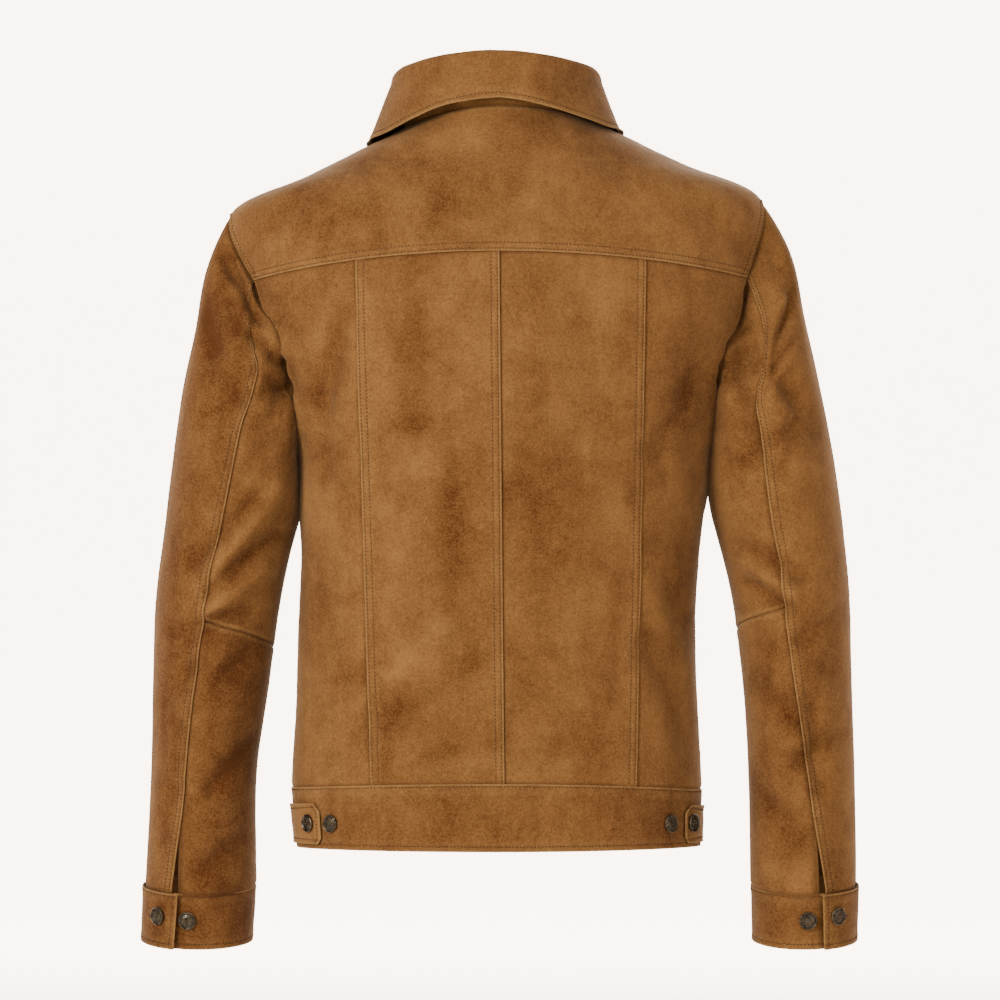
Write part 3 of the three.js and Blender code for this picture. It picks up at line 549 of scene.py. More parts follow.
def edge_dark(kind, d):
    """Painted shade at seams: in plain grooves, past under laps, below sunk edges and along stitch rows."""
    dark = np.zeros_like(d)
    if kind == "under":
        dark = np.exp(-((np.maximum(d - LAP, 0) / 1.6) ** 2))
    if kind == "plain":
        dark = 0.6 * np.exp(-((d / 0.9) ** 2))
    if kind == "sunk":
        dark = 1.25 * np.exp(-((np.maximum(d - 5.5, 0) / 2.6) ** 2))
    for row in STITCHES.get(kind, ()):
        dark = dark + 0.22 * np.exp(-(((d - row) / 0.9) ** 2))
    return dark


# %% [markdown]
# ### From a grid to a shell
# A panel starts as a grid of points on the smooth surface. Its normals come from the grid itself. The points
# then move along them: in for creases, out for laps, and the wall thins to nothing at the border so that the
# edge is round. Outer skin, inner skin and rim are one closed mesh. Each corner keeps a few numbers for the
# suede material to read, such as how pale the nap is there, how much painted shade and painted light it gets,
# and whether it is on the inside.

# %% Shell builder
def grid_normals(points, outward):
    across = np.gradient(points, axis=1)
    along = np.gradient(points, axis=0)
    normals = unit(np.cross(across, along))
    inward = np.sum(normals * outward, axis=-1) < 0
    return -normals if np.mean(inward) > 0.5 else normals


def border_distances(points):
    """Distances from each grid point to the left, right, low and high borders, along the cloth."""
    across = np.linalg.norm(np.diff(points, axis=1), axis=-1)
    along = np.linalg.norm(np.diff(points, axis=0), axis=-1)
    left = np.pad(np.cumsum(across, axis=1), ((0, 0), (1, 0)))
    low = np.pad(np.cumsum(along, axis=0), ((1, 0), (0, 0)))
    return {"left": left, "right": left[:, -1:] - left, "low": low, "high": low[-1:, :] - low}


def spread(length, cell=GRID, low=True, high=True):
    """Places from 0 to 1 along a length, close together near the ends that need it."""
    edge = np.array([d for d in EDGE_STEPS if d < length * 0.45])
    start = edge if low else np.array([0.0])
    stop = length - edge[::-1] if high else np.array([float(length)])
    count = max(1, int(round((stop[0] - start[-1]) / cell)))
    middle = np.linspace(start[-1], stop[0], count + 1)[1:-1]
    return np.concatenate([start, middle, stop]) / length


def mesh_piece(name, points, quads, marks=None):
    mesh = bpy.data.meshes.new(name)
    mesh.vertices.add(len(points))
    mesh.vertices.foreach_set("co", (np.asarray(points) * MM).ravel())
    mesh.loops.add(quads.size)
    mesh.loops.foreach_set("vertex_index", quads.ravel())
    mesh.polygons.add(len(quads))
    mesh.polygons.foreach_set("loop_start", np.arange(0, quads.size, quads.shape[1]))
    mesh.update(calc_edges=True)
    mesh.polygons.foreach_set("use_smooth", np.ones(len(quads), bool))
    for key, values in (marks or {}).items():
        layer = mesh.attributes.new(key, "FLOAT", "POINT")
        layer.data.foreach_set("value", np.asarray(values, float).ravel())
    mesh.validate()
    piece = bpy.data.objects.new(name, mesh)
    bpy.context.scene.collection.objects.link(piece)
    return piece


def shell_quads(rows, columns):
    """Quads of an outer grid, an inner grid and the rim between them."""
    index = np.arange(rows * columns).reshape(rows, columns)
    a, b, c, d = index[:-1, :-1], index[:-1, 1:], index[1:, 1:], index[1:, :-1]
    outer = np.stack([a, b, c, d], axis=-1).reshape(-1, 4)
    inner = outer[:, ::-1] + rows * columns
    loop = np.concatenate([index[0, :-1], index[:-1, -1], index[-1, :0:-1], index[:0:-1, 0]])
    after = np.roll(loop, -1)
    rim = np.stack([after, loop, loop + rows * columns, after + rows * columns], axis=-1)
    return np.concatenate([outer, inner, rim])


PANEL_TONE_AND_PAINTED_LIGHT = {  # darker or paler panels: hide tone, painted shade on the cuffs, painted light on the stand
    "cuff_left": -0.42, "cuff_right": -0.2, "back_side_right": 0.0, "waistband_back": -0.16,
    "under_sleeve_lower_left": -0.3, "top_sleeve_left": -0.22,
    "under_sleeve_upper_left": -0.05, "top_sleeve_right": 0.08, "yoke_back": 0.03, "waist_tab_left": 0.1,
    "collar_stand": 0.12,
}
hide_place = np.random.default_rng(RNG_SEED)  # which part of the hide each panel is cut from
stitch_rows = []  # each entry: the piece that the row joins, and its points
skins = {}  # outer points and normals of each piece, for what lies on it


def suede_shell(
    name, base, edges, outward, rows=None, lift=0.0, wall=WALL, crease=1.0, wave=0.5, group="body"
):
    """Makes one panel from its smooth grid; edges lists (border, kind, first row, last row)."""
    normals = grid_normals(base, outward)
    distances = border_distances(base)
    move = lift - crease * crease_depth(base, normals)
    for k, (size, height) in enumerate(WAVES):
        move = move + wave * height * soft_noise(base, size, RNG_SEED + k)
    light, dark = np.zeros(base.shape[:-1]), np.zeros(base.shape[:-1])
    nearest = np.full(base.shape[:-1], 1e3)
    for border, kind, first, last in edges:
        d = distances[border]
        within = np.ones(len(base)) if rows is None else ((rows >= first) & (rows <= last)).astype(float)
        weight = within[:, None] if border in ("left", "right") else np.ones((1, base.shape[1]))
        move = move + weight * edge_lift(kind, d)
        move = move + weight * PUCKER * soft_noise(base, 7.5, RNG_SEED + 9) * np.exp(-(((d - 5) / 6) ** 2))
        nearest = np.minimum(nearest, d)
        light = np.maximum(light, weight * edge_light(kind, d))
        dark = np.maximum(dark, weight * edge_dark(kind, d))
    reach = np.clip(nearest / (wall / 2), 0, 1)
    thick = wall * np.maximum(np.sqrt(1 - (1 - reach) ** 2), 0.12)
    outer = base + normals * (move - wall / 2 + thick / 2)[..., None]
    inner = base + normals * (move - wall / 2 - thick / 2)[..., None]
    points = np.concatenate([outer.reshape(-1, 3), inner.reshape(-1, 3)])
    quads = shell_quads(*base.shape[:2])
    middle = tuple(n // 2 for n in base.shape[:2])
    j, i = middle
    turn = np.cross(outer[j, i + 1] - outer[j, i], outer[j + 1, i] - outer[j, i])
    if np.dot(turn, normals[middle]) < 0:
        quads = quads[:, ::-1]
    count = base.shape[0] * base.shape[1]
    marks = {
        "pale": np.concatenate([light.ravel(), light.ravel() * 0.3]),
        "shade": np.concatenate([dark.ravel(), dark.ravel()]),
        "inside": np.concatenate([np.zeros(count), np.ones(count)]),
        # fold: painted shade in crease troughs, painted light on ridges
        "fold": np.tile(np.clip(crease * crease_depth(base, normals).ravel() / 4, -1, 1), 2),
        "panel": np.full(2 * count, hide_place.random()),
        # tone: hide tone, with painted shade and painted light from the tone tables
        "tone": np.tile(hide_tone_and_painted_light(base, normals).ravel() + PANEL_TONE_AND_PAINTED_LIGHT.get(name, 0.0), 2),
    }
    piece = mesh_piece(name, points, quads, marks)
    cell = np.linalg.norm(np.cross(np.diff(base, axis=1)[:-1], np.diff(base, axis=0)[:, :-1]), axis=-1)
    skins[name] = (outer, normals)
    for border, kind, first, last in edges:
        for at in STITCHES.get(kind, ()):
            line = line_at(outer, normals, distances[border], border, at)
            if rows is not None and border in ("left", "right"):
                line = line[(rows >= first) & (rows <= last)]
            stitch_rows.append((group, line))
    return piece


def line_at(points, normals, distance, border, at):
    """The line on a skin that keeps one distance from a border, just proud of the cloth."""
    proud = points + normals * 0.12
    if border in ("left", "right"):
        proud, distance = proud.swapaxes(0, 1), distance.swapaxes(0, 1)
    if border in ("right", "high"):
        proud, distance = proud[::-1], distance[::-1]
    columns = []
    for i in range(proud.shape[1]):
        columns.append([np.interp(at, distance[:, i], proud[:, i, k]) for k in range(3)])
    return np.array(columns)


# %% [markdown]
# ## Laying out a panel
# Columns and rows are placed by the length of the cloth, not by the table's own numbers, so mesh cells stay
# about square. Where an edge runs under a neighbour the grid is simply continued past the seam by the lap.

# %% Grids on the torso and on the sleeves
def along(points, axis):
    """Length of the cloth from the first point of each line, along one axis of a grid."""
    steps = np.linalg.norm(np.diff(points, axis=axis), axis=-1)
    return np.concatenate([np.zeros_like(steps.take([0], axis)), np.cumsum(steps, axis=axis)], axis=axis)


def even_lines(surface, first, last, rows, columns, laps):
    """Grid of (place across, row), spaced by length from the first line to the last; laps run past them."""
    share = np.linspace(0, 1, 81)
    start, stop = first(rows)[:, None], last(rows)[:, None]
    for end, lap in enumerate(laps):
        if lap:
            edge = first(rows) if end == 0 else last(rows)
            small = 1e-3 * np.sign(last(rows) - first(rows))
            speed = np.linalg.norm(surface(edge + small, rows) - surface(edge, rows), axis=-1) / 1e-3
            shift = (LAP * laps[end] * np.sign(small) / np.maximum(speed, 1e-6))[:, None]
            start, stop = (start - shift, stop) if end == 0 else (start, stop + shift)
    places = start + (stop - start) * share
    length = along(surface(places, rows[:, None]), 1)
    return np.array([np.interp(columns, s / s[-1], p) for s, p in zip(length, places)])


def even_rows(surface, middle, first, last, cell, dense, laps, extra=()):
    """Rows spaced by length down the middle of a panel."""
    test = np.linspace(first, last, 160)
    length = along(surface(middle(test), test), 0)
    rate_first = (test[1] - test[0]) / np.maximum(length[1], 1e-6)
    rate_last = (test[-1] - test[-2]) / (length[-1] - length[-2])
    ends = first - LAP * laps[0] * rate_first, last + LAP * laps[1] * rate_last
    test = np.concatenate([[ends[0]], test[1:-1], [ends[1]]])
    length = along(surface(middle(test), test), 0)
    rows = np.interp(spread(length[-1], cell, *dense) * length[-1], length, test)
    return np.unique(np.concatenate([rows, extra]))


def lay_out(surface, first, last, low, high, edges, cell=GRID, extra=()):
    """Returns the rows and the grid of a panel between two lines and two rows."""
    kinds = {border: kind for border, kind, *_ in edges}
    under = {border: float(kind == "under") for border, kind in kinds.items()}
    rows = even_rows(
        surface, lambda r: (first(r) + last(r)) / 2, low, high, cell,
        ("low" in kinds, "high" in kinds), (under.get("low", 0), under.get("high", 0)), extra,
    )
    width = along(surface(np.linspace(first(rows), last(rows), 60).T, rows[:, None]), 1)[:, -1]
    columns = spread(np.median(width), cell, "left" in kinds, "right" in kinds)
    laps = (under.get("left", 0), under.get("right", 0))
    return rows, even_lines(surface, first, last, rows, columns, laps)


ALL = (-99, 99)  # an edge's kind holds over all rows
arm_rows = ARMPIT + (TIP - ARMPIT) * 0.5 * (1 - np.cos(np.radians([0, 4, 8, 12, 16, 21, 26])))
tip_rows = ARMPIT + TIP - arm_rows


def torso_panel(node, face, first, last, low, high, edges, lift=0.0, extra=(), **looks):
    surface = lambda girth, row: torso_base(face, girth, row)
    rows, girths = lay_out(surface, first, last, low, high, edges, extra=extra)
    base = surface(girths, rows[:, None])
    return suede_shell(node, base, edges, base * (1, 1, 0), rows, lift, **looks)


# %% [markdown]
# ## The back
# Two centre panels and two side panels hang below the yoke. The centre panels lap over the side panels, and
# the left one laps over the right one at the centre seam, as the rows of stitching beside each seam show.

# %% Back panels and yoke
pieces = {}


def back_line(k):
    return lambda rows: back_stops(rows)[k]


BACK_PANELS = [
    (
        "back_side_left", 0,
        [("left", "plain", -99, ARMPIT), ("left", "turned", ARMPIT, 99), ("right", "under", *ALL)],
    ),
    ("back_center_left", 1, [("left", "over", *ALL), ("right", "over", *ALL)]),
    ("back_center_right", 2, [("left", "under", *ALL), ("right", "over", *ALL)]),
    (
        "back_side_right", 3,
        [("left", "under", *ALL), ("right", "plain", -99, ARMPIT), ("right", "turned", ARMPIT, 99)],
    ),
]
for node, k, side_edges in BACK_PANELS:
    edges = side_edges + [("low", "under", *ALL), ("high", "under", *ALL)]
    extra = arm_rows if "side" in node else ()
    pieces[node] = torso_panel(node, "back", back_line(k), back_line(k + 1), WAIST, YOKE, edges, extra=extra)

yoke_edges = [("low", "over", *ALL), ("high", "plain", *ALL)]
for border in ("left", "right"):
    yoke_edges += [(border, "over", -99, TIP), (border, "over_one", TIP, 99)]
pieces["yoke_back"] = torso_panel(
    "yoke_back", "back", back_line(0), back_line(4), YOKE, NECK, yoke_edges, extra=tip_rows
)

# %% [markdown]
# ## The fronts and the button band
# The photograph never shows the front, so it is closed plainly: two fronts and a band down the middle, the
# left one on top, with one row of stitches along each edge.

# %% Fronts and plackets
def front_line(x):
    return lambda rows: girth_at_x("front", rows, x)


front_rows = np.concatenate([arm_rows, tip_rows])
for side, sign in SIGN.items():
    arm, band = ("left", "right") if side == "left" else ("right", "left")
    edges = [(arm, "plain", -99, ARMPIT), (arm, "over", ARMPIT, TIP), (arm, "under", TIP, 99)]
    edges += [(band, "under", *ALL), ("low", "under", *ALL), ("high", "plain", *ALL)]
    lines = [lambda rows, side=side: arm_edge("front", side, rows), front_line(sign * PLACKET_HALF)]
    first, last = lines if side == "left" else lines[::-1]
    pieces[f"front_{side}"] = torso_panel(
        f"front_{side}", "front", first, last, WAIST, NECK, edges, extra=front_rows
    )
band_edges = [("left", "over_one", *ALL), ("right", "over_one", *ALL)]
band_edges += [("low", "free_one", *ALL), ("high", "plain", *ALL)]
pieces["placket_left"] = torso_panel(
    "placket_left", "front", front_line(-PLACKET_HALF - 1), front_line(PLACKET_HALF), HEM, NECK, band_edges,
    lift=0.6,
)
under_edges = [(border, "none", *ALL) for border in ("left", "right", "low", "high")]
pieces["placket_right"] = torso_panel(
    "placket_right", "front", front_line(-PLACKET_HALF + 2), front_line(PLACKET_HALF + 6), HEM, NECK,
    under_edges, lift=-2.6,
)

# %% [markdown]
# ## The waistband and its tabs
# The band laps over the bottom of every panel. A short tab comes from each side seam and is buttoned to the
# band.

# %% Waistband
band_kinds = [("high", "over_one", *ALL), ("low", "free_one", *ALL)]
full = lambda sign: lambda rows: sign * np.ones_like(np.asarray(rows, float))
pieces["waistband_back"] = torso_panel(
    "waistband_back", "back", full(-1), full(1), HEM, WAIST,
    band_kinds + [("left", "plain", *ALL), ("right", "plain", *ALL)],
)
pieces["waistband_front_left"] = torso_panel(
    "waistband_front_left", "front", full(-1), front_line(-PLACKET_HALF), HEM, WAIST,
    band_kinds + [("left", "plain", *ALL), ("right", "under", *ALL)],
)
pieces["waistband_front_right"] = torso_panel(
    "waistband_front_right", "front", front_line(PLACKET_HALF), full(1), HEM, WAIST,
    band_kinds + [("left", "under", *ALL), ("right", "plain", *ALL)],
)

# %% Waist tabs
SIDE_HEM, SIDE_WAIST = -622, -570  # heights of the waistband's two edges at the side seams
TAB_LOW, TAB_HIGH, TAB_CLIP = -618, -583, 5  # heights of a tab's edges, and how far its corner is cut off
TAB_END = {"left": -157, "right": 162}
TAB_ROWS = [(z - SIDE_HEM) / (SIDE_WAIST - SIDE_HEM) for z in (TAB_LOW, TAB_HIGH)]


def tab_end(side):
    def line(rows):
        up = (np.asarray(rows, float) - TAB_ROWS[0]) / (TAB_ROWS[1] - TAB_ROWS[0])
        clip = TAB_CLIP * np.clip((up - 0.8) / 0.2, 0, 1) + 0.6 * TAB_CLIP * np.clip((0.15 - up) / 0.15, 0, 1)
        return girth_at_x("back", WAIST, TAB_END[side] + SIGN[side] * clip)
    return line


for side, sign in SIGN.items():
    first, last = (full(-1), tab_end(side)) if side == "left" else (tab_end(side), full(1))
    free = "right" if side == "left" else "left"
    edges = [(free, "free_one", *ALL), ("low", "free_one", *ALL), ("high", "free_one", *ALL)]
    edges += [("left" if side == "left" else "right", "plain", *ALL)]
    pieces[f"waist_tab_{side}"] = torso_panel(
        f"waist_tab_{side}", "back", first, last, *TAB_ROWS, edges, lift=2.3, wave=0.5
    )

# %% [markdown]
# ## The sleeves
# Each is a two-piece sleeve: a top sleeve whose back edge laps over the under sleeve, and an under sleeve
# joined at the elbow. At the wrist the back seam opens into a short vent. The cap starts under the armhole's
# edge.

# %% Sleeve panels
def hole_frame(side, turn):
    """Point, torso normal and direction into the hole, for each turn of the armhole."""
    point = hole_point(side, turn)
    behind, girth, row = hole_place(side, turn)
    e = 1e-3
    normal = []
    for face in ("back", "front"):
        across = torso_base(face, girth + e, row) - torso_base(face, girth - e, row)
        up = torso_base(face, girth, row + e) - torso_base(face, girth, row - e)
        n = unit(np.cross(across, up))
        normal.append(n * np.where(np.sum(n * point * (1, 1, 0), axis=-1, keepdims=True) < 0, -1, 1))
    normal = np.where(behind[..., None], normal[0], normal[1])
    tangent = unit(hole_point(side, turn + 1) - hole_point(side, turn - 1))
    inward = unit(np.cross(tangent, normal))
    middle = (hole_point(side, np.array(0.0)) + hole_point(side, np.array(180.0))) / 2
    inward = inward * np.where(np.sum(inward * (middle - point), axis=-1, keepdims=True) < 0, -1, 1)
    return point, normal, inward


def ring_middle(side, rows):
    turns = np.array([0.0, 90.0, 180.0, 270.0])
    return np.mean(sleeve_base(side, turns[None, :], rows[:, None]), axis=1)[:, None, :]


def vent_shift(rows):
    """How far, in degrees, a vent edge stands back from the seam line."""
    open_share = np.clip((np.asarray(rows, float) - VENT_TOP) / (CUFF_TOP - VENT_TOP), 0, 1)
    return open_share * math.degrees(VENT_HALF / 49)


def elbow_fall(turns):
    """How far the elbow seam has fallen on its way from the back seam to the front seam."""
    return ELBOW_SLANT * (turns - turns[:, :1]) / (turns[:, -1:] - turns[:, :1])


def sleeve_panel(node, side, first, last, low, high, edges, elbow=None):
    surface = lambda turn, ring: sleeve_base(side, turn, ring)
    rows, turns = lay_out(surface, first, last, max(low, 0.004), high, edges)
    ring = rows[:, None] + np.zeros_like(turns)
    if elbow is not None:
        share = (rows - low) / (high - low)
        near = share if elbow == "high" else 1 - share
        ring = ring + elbow_fall(turns) * np.clip(near, 0, 1)[:, None] ** 2
    base = surface(turns, ring)
    if low == 0:
        point, normal, inward = hole_frame(side, turns[0])
        tucked = [point - normal * 2.4 - inward * 3.5, point - normal * 1.7 - inward * 1.0]
        base = np.concatenate([np.array(tucked), base[1:]])
        rows = np.concatenate([[rows[0] - 0.01], rows])
    outward = base - ring_middle(side, np.clip(rows, 0, 9))
    return suede_shell(node, base, edges, outward, rows, group=f"{side}_sleeve")


for side in SIGN:
    front_seam = lambda rows: np.full_like(rows, FRONT_SEAM)
    seam_over = lambda rows, side=side: back_seam(side, rows) - vent_shift(rows)
    seam_under = lambda rows, side=side: back_seam(side, rows) + vent_shift(rows)
    pieces[f"top_sleeve_{side}"] = sleeve_panel(
        f"top_sleeve_{side}", side, lambda rows: np.full_like(rows, FRONT_SEAM - 360), seam_over, 0, CUFF_TOP,
        [("left", "plain", *ALL), ("right", "over", *ALL), ("high", "under", *ALL), ("low", "sunk", *ALL)],
    )
    pieces[f"under_sleeve_upper_{side}"] = sleeve_panel(
        f"under_sleeve_upper_{side}", side, seam_under, front_seam, 0, ELBOW[side],
        [("left", "under", *ALL), ("right", "plain", *ALL), ("high", "plain", *ALL), ("low", "sunk", *ALL)],
        elbow="high",
    )
    pieces[f"under_sleeve_lower_{side}"] = sleeve_panel(
        f"under_sleeve_lower_{side}", side, seam_under, front_seam, ELBOW[side], CUFF_TOP,
        [("left", "under", *ALL), ("right", "plain", *ALL), ("low", "plain", *ALL), ("high", "under", *ALL)],
        elbow="low",
    )

# %% [markdown]
# ## The cuffs
# A cuff is one straight band. Its flap laps over its own other end at the back of the wrist, so the band is
# wound as a very flat spiral: the flap stands a little out and the under end a little in.

# %% Cuffs
CUFF_SPIRAL, CUFF_OVERLAP = 3.0, 34
FLAP_EDGE = {"left": 94, "right": 92}  # turn of the flap's edge


def cuff_panel(side):
    flap = FLAP_EDGE[side]
    first = lambda rows: np.full_like(rows, flap - 360 - CUFF_OVERLAP)
    last = lambda rows: np.full_like(rows, flap)
    edges = [("low", "over_one", *ALL), ("high", "free_one", *ALL)]
    edges += [("right", "free_one", *ALL), ("left", "none", *ALL)]
    surface = lambda turn, ring: sleeve_base(side, turn, ring)
    rows, turns = lay_out(surface, first, last, CUFF_TOP, CUFF_LOW, edges)
    base = surface(turns, rows[:, None] + 0 * turns)
    outward = base - ring_middle(side, rows)
    share = (turns - turns[:, :1]) / (turns[:, -1:] - turns[:, :1])
    lift = CUFF_SPIRAL * (2 * share - 1) + 0.2
    return suede_shell(f"cuff_{side}", base, edges, outward, rows, lift, group=f"{side}_sleeve")


for side in SIGN:
    pieces[f"cuff_{side}"] = cuff_panel(side)

# %% [markdown]
# ## The collar
# The stand rises from the neck seam and the fall rolls over its top and runs down to a free edge. Both are
# built from sections set round the neck line: the fold's height and lean and the edge's place come from one
# table.

# %% Collar
STAND_DROP = 8  # the stand ends this far below the fold
COLLAR_COLUMNS = ["at", "fold_out", "fold_up", "edge_x", "edge_y", "edge_z"]
COLLAR = {
    "left": {
        "columns": COLLAR_COLUMNS,
        "rows": [
            [0, -5, 47.5, 0, -77, 35.5],
            [0.22, -5, 48.5, 24, -76, 33],
            [0.5, -3, 50, 55, -71, 26],
            [0.8, 0, 50, 98, -44, 6],
            [1, 1, 46, 115, 2, -4],
            [1.35, 0, 40, 102, 58, -36],
            [1.7, -3, 33, 80, 94, -70],
            [2, -4, 27, 50, 112, -104],
        ],
    },
    "right": {
        "columns": COLLAR_COLUMNS,
        "rows": [
            [0, -5, 47.5, 0, -77, 35.5],
            [0.22, -5, 47, 24, -76, 32],
            [0.5, -3, 46, 55, -71, 24],
            [0.8, -1, 44, 93, -44, 11],
            [1, -1, 39, 107, 2, 4],
            [1.35, -1, 34, 97, 58, -32],
            [1.7, -3, 28, 78, 94, -68],
            [2, -4, 24, 50, 112, -104],
        ],
    },
}


def neck_sections(count):
    """Sections from the left front over the back to the right front."""
    side_front = abs(float(girth_at_x("front", np.array([NECK]), np.array([-COLLAR_END]))[0]))
    left = np.linspace(-side_front, -1, count)
    back = np.linspace(-1, 1, 2 * count)[1:-1]
    faces = [("front", g) for g in left] + [("back", g) for g in back] + [("front", -g) for g in left[::-1]]
    sections = []
    for face, g in faces:
        seam = torso_base(face, g, NECK)
        step = torso_base(face, g + 1e-3, NECK) - torso_base(face, g - 1e-3, NECK)
        out = unit(np.array([step[1], -step[0], 0.0]))
        out = out * (-1 if out @ (seam * (1, 1, 0)) < 0 else 1)
        share = abs(g) if face == "back" else 2 - abs(g)
        table = COLLAR["left" if g < 0 else "right"]
        read = read_at(table, share)
        sections.append((seam, out, read, -1 if g < 0 else 1))
    return sections


def collar_rise(section, height, outward):
    seam, out, read, _ = section
    return seam + out * outward + np.array([0, 0, height])


def stand_point(section, share):
    read = section[2]
    height = -2.7 + (float(read["fold_up"]) - STAND_DROP + 4.0) * share
    return collar_rise(section, height, -WALL / 2 + float(read["fold_out"]) * share)


def fall_point(section, share, roll=0.22):
    seam, out, read, sign = section
    up, inner = float(read["fold_up"]), float(read["fold_out"]) - WALL / 2
    edge = np.array([sign * read["edge_x"], read["edge_y"], read["edge_z"]])
    marks = [(up - STAND_DROP, inner), (up + 3, inner), (up + 4, inner + 9), (up - 8, inner + 10)]
    points = [collar_rise(section, h, o) for h, o in marks]
    if share <= roll:
        t = share / roll
        weights = [(1 - t) ** 3, 3 * (1 - t) ** 2 * t, 3 * (1 - t) * t * t, t ** 3]
        return sum(w * p for w, p in zip(weights, points))
    t = (share - roll) / (1 - roll)
    bend = points[3] * 0.55 + edge * 0.45 + out * 2 + np.array([0, 0, -4])
    return points[3] * (1 - t) ** 2 + bend * 2 * t * (1 - t) + edge * t * t


def shoulder_tree():
    """The shoulders' points in a search tree, to keep the fall clear of them."""
    points, normals = [], []
    for face in ("back", "front"):
        girth, row = np.meshgrid(np.linspace(-1, 1, 90), np.linspace(YOKE - 0.5, NECK, 60))
        surface = torso_base(face, girth, row)
        normals.append(grid_normals(surface, surface * (1, 1, 0)).reshape(-1, 3))
        points.append(surface.reshape(-1, 3))
    points, normals = np.concatenate(points), np.concatenate(normals)
    tree = KDTree(len(points))
    for k, point in enumerate(points):
        tree.insert(point, k)
    tree.balance()
    return tree, points, normals


tree, shoulder_points, shoulder_normals = shoulder_tree()


def push_clear(point, lift):
    _, k, _ = tree.find(point)
    height = (point - shoulder_points[k]) @ shoulder_normals[k]
    return point + shoulder_normals[k] * max(0.0, lift - height)


def collar_piece(node, shares, point_of, lift, edges):
    sections = neck_sections(46)
    base = np.array([[point_of(section, share) for section in sections] for share in shares])
    if lift:
        base = np.array([[push_clear(p, lift) for p in line] for line in base])
    outward = base - np.array([0, 10, 0])
    outward[..., 2] = 0
    return suede_shell(node, base, edges, outward, lift=WALL / 2, crease=0, group="collar")


stand_edges = [("low", "under", *ALL)] + [(border, "none", *ALL) for border in ("high", "left", "right")]
pieces["collar_stand"] = collar_piece("collar_stand", spread(44), stand_point, 0, stand_edges)
roll_shares = np.linspace(0, 0.22, 14)[:-1]
fall_shares = np.concatenate([roll_shares, 0.22 + 0.78 * spread(62, low=False)])
fall_edges = [(border, "free_one", *ALL) for border in ("high", "left", "right")] + [("low", "none", *ALL)]
pieces["collar_fall"] = collar_piece("collar_fall", fall_shares, fall_point, WALL / 2 + 2.4, fall_edges)

# %% [markdown]
# ## Shaders written as sums
# A node tree is easier to read as arithmetic. This small class wraps a socket, so that `a * 2 + b` adds the
# Math nodes by itself, and one method adds any other node: first its settings, then its inputs.

# %% Sums of sockets
class Wire:
    def __init__(self, tree, socket):
        self.tree, self.socket = tree, socket

    def node(self, kind, settings=None, inputs=None, out=0):
        made = self.tree.nodes.new(kind)
        for key, value in (settings or {}).items():
            setattr(made, key, value)
        slots = {slot.identifier: slot for slot in made.inputs}
        for key, value in (inputs or {}).items():
            slot = made.inputs[key] if isinstance(key, int) else slots[key]
            if isinstance(value, Wire):
                self.tree.links.new(value.socket, slot)
            else:
                slot.default_value = value
        outs = {slot.identifier: slot for slot in made.outputs}
        return Wire(self.tree, made.outputs[out] if isinstance(out, int) else outs[out])

    def math(self, operation, a, b, clamp=False):
        return self.node("ShaderNodeMath", {"operation": operation, "use_clamp": clamp}, {0: a, 1: b})

    def __add__(self, other):
        return self.math("ADD", self, other)

    def __radd__(self, other):
        return self.math("ADD", other, self)

    def __sub__(self, other):
        return self.math("SUBTRACT", self, other)

    def __rsub__(self, other):
        return self.math("SUBTRACT", other, self)

    def __mul__(self, other):
        return self.math("MULTIPLY", self, other)

    def __rmul__(self, other):
        return self.math("MULTIPLY", other, self)

    def clip(self):
        return self.math("ADD", self, 0.0, clamp=True)


def linear(red, green, blue):
    """A screen colour of 0 to 255 as the linear colour that shaders use."""
    shares = [value / 255 for value in (red, green, blue)]
    return tuple(v / 12.92 if v < 0.0405 else ((v + 0.055) / 1.055) ** 2.4 for v in shares) + (1,)


def new_material(name):
    """A material, its main shader, and a first wire: the place on the object."""
    material = bpy.data.materials.new(name)
    material.use_nodes = True
    tree = material.node_tree
    shader = tree.nodes["Principled BSDF"]
    place = Wire(tree, tree.nodes.new("ShaderNodeTexCoord").outputs["Object"])
    return material, shader, place


def noise(place, size, detail=2.0, rough=0.5, stretch=(1, 1, 1), twist=0.0):
    """Noise about as wide as a size in millimetres, centred on zero."""
    place = place.node("ShaderNodeVectorMath", {"operation": "MULTIPLY"}, {0: place, 1: stretch})
    inputs = {"Vector": place, "Scale": 1000 / size, "Detail": detail}
    inputs.update({"Roughness": rough, "Distortion": twist})
    return place.node("ShaderNodeTexNoise", {}, inputs, out=0) - 0.5


def blend(factor, first, second):
    """Mixes two colours."""
    inputs = {"Factor_Float": factor, "A_Color": first, "B_Color": second}
    return factor.node("ShaderNodeMix", {"data_type": "RGBA"}, inputs, out="Result_Color")


def attribute(place, name):
    return place.node("ShaderNodeAttribute", {"attribute_name": name}, {}, out="Fac")


def plug(shader, wires):
    for name, value in wires.items():
        if isinstance(value, Wire):
            value.tree.links.new(value.socket, shader.inputs[name])
        else:
            shader.inputs[name].default_value = value


# %% [markdown]
# ## Suede
# Suede is the hide's flesh side, so its short nap takes and gives light unevenly: wide soft clouds, smaller
# blotches, long brush marks down the cloth, and a fine grain. Nap is rubbed pale on raised edges. Painted
# shade darkens the crease troughs, the seams and the stitch rows, and painted light brightens the crease
# ridges; the tone patches add painted shade and painted light to the hide's own tone. Every panel is cut from
# another part of the hide, so its clouds don't run on over a seam.

# %% The suede material
# Colours: darkest and lightest hide, rubbed pale nap, painted shade for the seams, and the inner skin.
SUEDE_DARK, SUEDE_LIGHT = linear(53, 27, 5), linear(111, 78, 41)
SUEDE_PALE, SUEDE_PAINTED_SHADE, SUEDE_INSIDE = linear(122, 92, 53), linear(35, 20, 7), linear(83, 60, 32)


